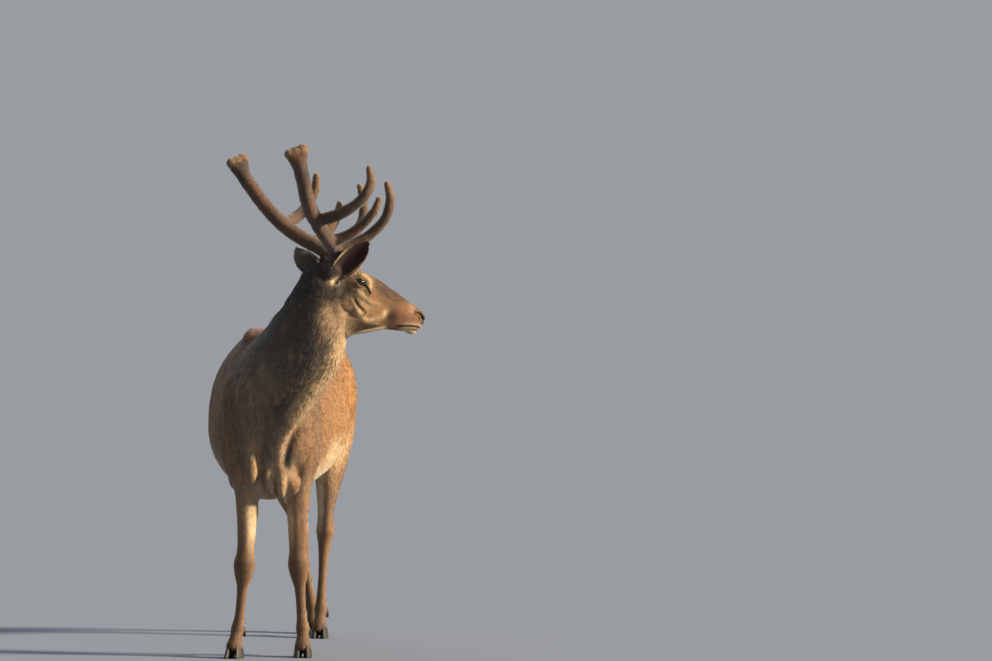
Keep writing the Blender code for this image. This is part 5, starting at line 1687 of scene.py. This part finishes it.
# %% Two eyes
def make_eye(side, word):
    facing, long_way, high = eye_frame(side)
    deselect()
    bpy.ops.mesh.primitive_uv_sphere_add(segments=48, ring_count=32, radius=1)
    eye = bpy.context.object
    eye.name = eye.data.name = f"eyeball_{word}"
    spots = points_of(eye)
    dome = 1 + 0.055 * ridge(np.arccos(np.clip(spots[:, 2], -1, 1)), 0.55)
    local = (spots * dome[:, None] * EYE_RADIUS) @ np.stack([long_way, high, facing])
    put_points(eye, from_head(EYES[word] + local) + np.array(STEP))
    layer = eye.data.attributes.new("spot", "FLOAT_VECTOR", "POINT")
    layer.data.foreach_set("vector", spots.astype(np.float32).ravel())
    pick(eye)
    on_whole_mesh(normals_make_consistent={"inside": False})
    bpy.ops.object.shade_smooth()
    eye.data.materials.append(EYE_WET)
    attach(eye, "root")
    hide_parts(f"eye_{word}")


for side, word in SIDES:
    make_eye(side, word)

# %% [markdown]
# ## Hooves and dewclaws
# Each foot stands on two cleaves of dark horn, pointed in front and round behind, with fine growth rings, and carries
# two small dewclaws behind the fetlock. A cleave is lofted through its outlines from the sole up, with a narrow
# bevel at the ground.

# %% Cleaves
HOOF_LENGTH, HOOF_WIDTH = 0.085, 0.033
CLEAVE = mm([  # height, how far the outline's middle lies back and leans to its twin, shares of length and width
    (0, 0, 0, 0.97, 0.96), (1.2, 0, 0, 1.0, 1.01), (6, 0, 0.2, 1.02, 1.03), (24, 6, 1.6, 0.87, 0.97),
    (38, 11, 3.2, 0.74, 0.86), (46, 14, 4.8, 0.62, 0.7), (50, 16, 6, 0.44, 0.44),
], 2)


def station_at(name, height):
    rows = leg_rows(name)[::-1]
    return np.array([np.interp(height, rows[:, 2], rows[:, i]) for i in (0, 1)])


def sole_outline(count=36):
    angle = 2 * np.pi * np.arange(count) / count
    across, along = np.sin(angle), -np.cos(angle)
    taper = 0.5 + 0.5 * np.tanh(1.6 * (along + 0.75))
    inner = np.where(across < 0, 0.94, 1.0)
    return across * inner * (0.35 + 0.65 * taper), along


def make_foot(name):
    x, y = station_at(name, 0.044)
    toe_out = STANCES[name][0] * 0.1
    across, along = sole_outline()
    pieces = []
    for claw in (-1, 1):
        rings = []
        for height, back, lean, length, width in curve_through(CLEAVE, 5):
            growth = 1 + 0.01 * np.sin(height * 2 * np.pi / 0.0052) * (height > 0.004) * (height < 0.045)
            px = claw * (HOOF_WIDTH * 0.5 + 0.0022 - lean + across * growth * width * HOOF_WIDTH / 2)
            py = along * growth * length * HOOF_LENGTH / 2 + back - 0.006
            tilt = 0.0 if height < 0.02 else (height - 0.02) * 0.5
            ring = np.stack([x + px - toe_out * py, y + py + claw * toe_out * px, np.full(len(px), max(0, height))])
            ring[2] += -tilt * along
            rings.append(ring.T)
        pieces.append(loft("cleave_form", rings))
        cx, cy = station_at(name, 0.1)
        root = np.array((cx + claw * 0.013, cy + 0.014, 0.112))
        tip = root + np.array((claw * 0.006, 0.032, -0.036))
        rows = curve_through([(*root, 0.0095), (*(root * 0.4 + tip * 0.6), 0.0095), (*tip, 0.005)], 5)
        pieces.append(loft("dewclaw_form", blunt_tube(rows, 16)))
    foot = join(f"hooves_{name}", pieces)
    put_points(foot, points_of(foot) + np.array(STEP))
    pick(foot)
    on_whole_mesh(normals_make_consistent={"inside": False})
    bpy.ops.object.shade_smooth_by_angle(angle=math.radians(50))
    return foot


# %% The finish of horn
def horn_material():
    made, tree, shader = new_material("hoof_horn")
    place = add_node(tree, "TexCoord")["Object"]
    stretched = add_node(tree, "Mapping", {"Vector": place, "Scale": (90, 90, 420)})["Vector"]
    rings = add_node(tree, "TexNoise", {"Vector": stretched, "Scale": 1.0, "Detail": 4.0})["Fac"]
    colours = add_node(tree, "ValToRGB", {"Fac": rings})["Color"]
    dark, light = colours.node.color_ramp.elements
    dark.position, dark.color = 0.35, (0.012, 0.01, 0.009, 1)
    light.position, light.color = 0.7, (0.045, 0.036, 0.029, 1)
    relief = add_node(tree, "Bump", {"Distance": 0.0006, "Strength": 0.5, "Height": rings})["Normal"]
    feed(tree, shader, {"Base Color": colours, "Roughness": 0.58, "Specular IOR Level": 0.35, "Normal": relief})
    return made


HORN = horn_material()
for name in STANCES:
    foot = make_foot(name)
    dress(foot, HORN)
    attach(foot, "root")
    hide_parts(*[f"{kind}_{name}_{word}" for kind in ("hoof", "dewclaw") for side, word in SIDES])
print("feet:", len(STANCES))

# %% [markdown]
# ## Set the skin down and close
# The skin stood in the head's first place while the tufts were planted on it, and now takes the same step as they
# did. It stands for every solid of flesh.

# %% The skin stands for the flesh
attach(skin, "root")
FLESH = [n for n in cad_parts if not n.startswith(("eye", "hoof", "dewclaw", "antler"))]
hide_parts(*FLESH)
put_points(skin, points_of(skin) + np.array(STEP))
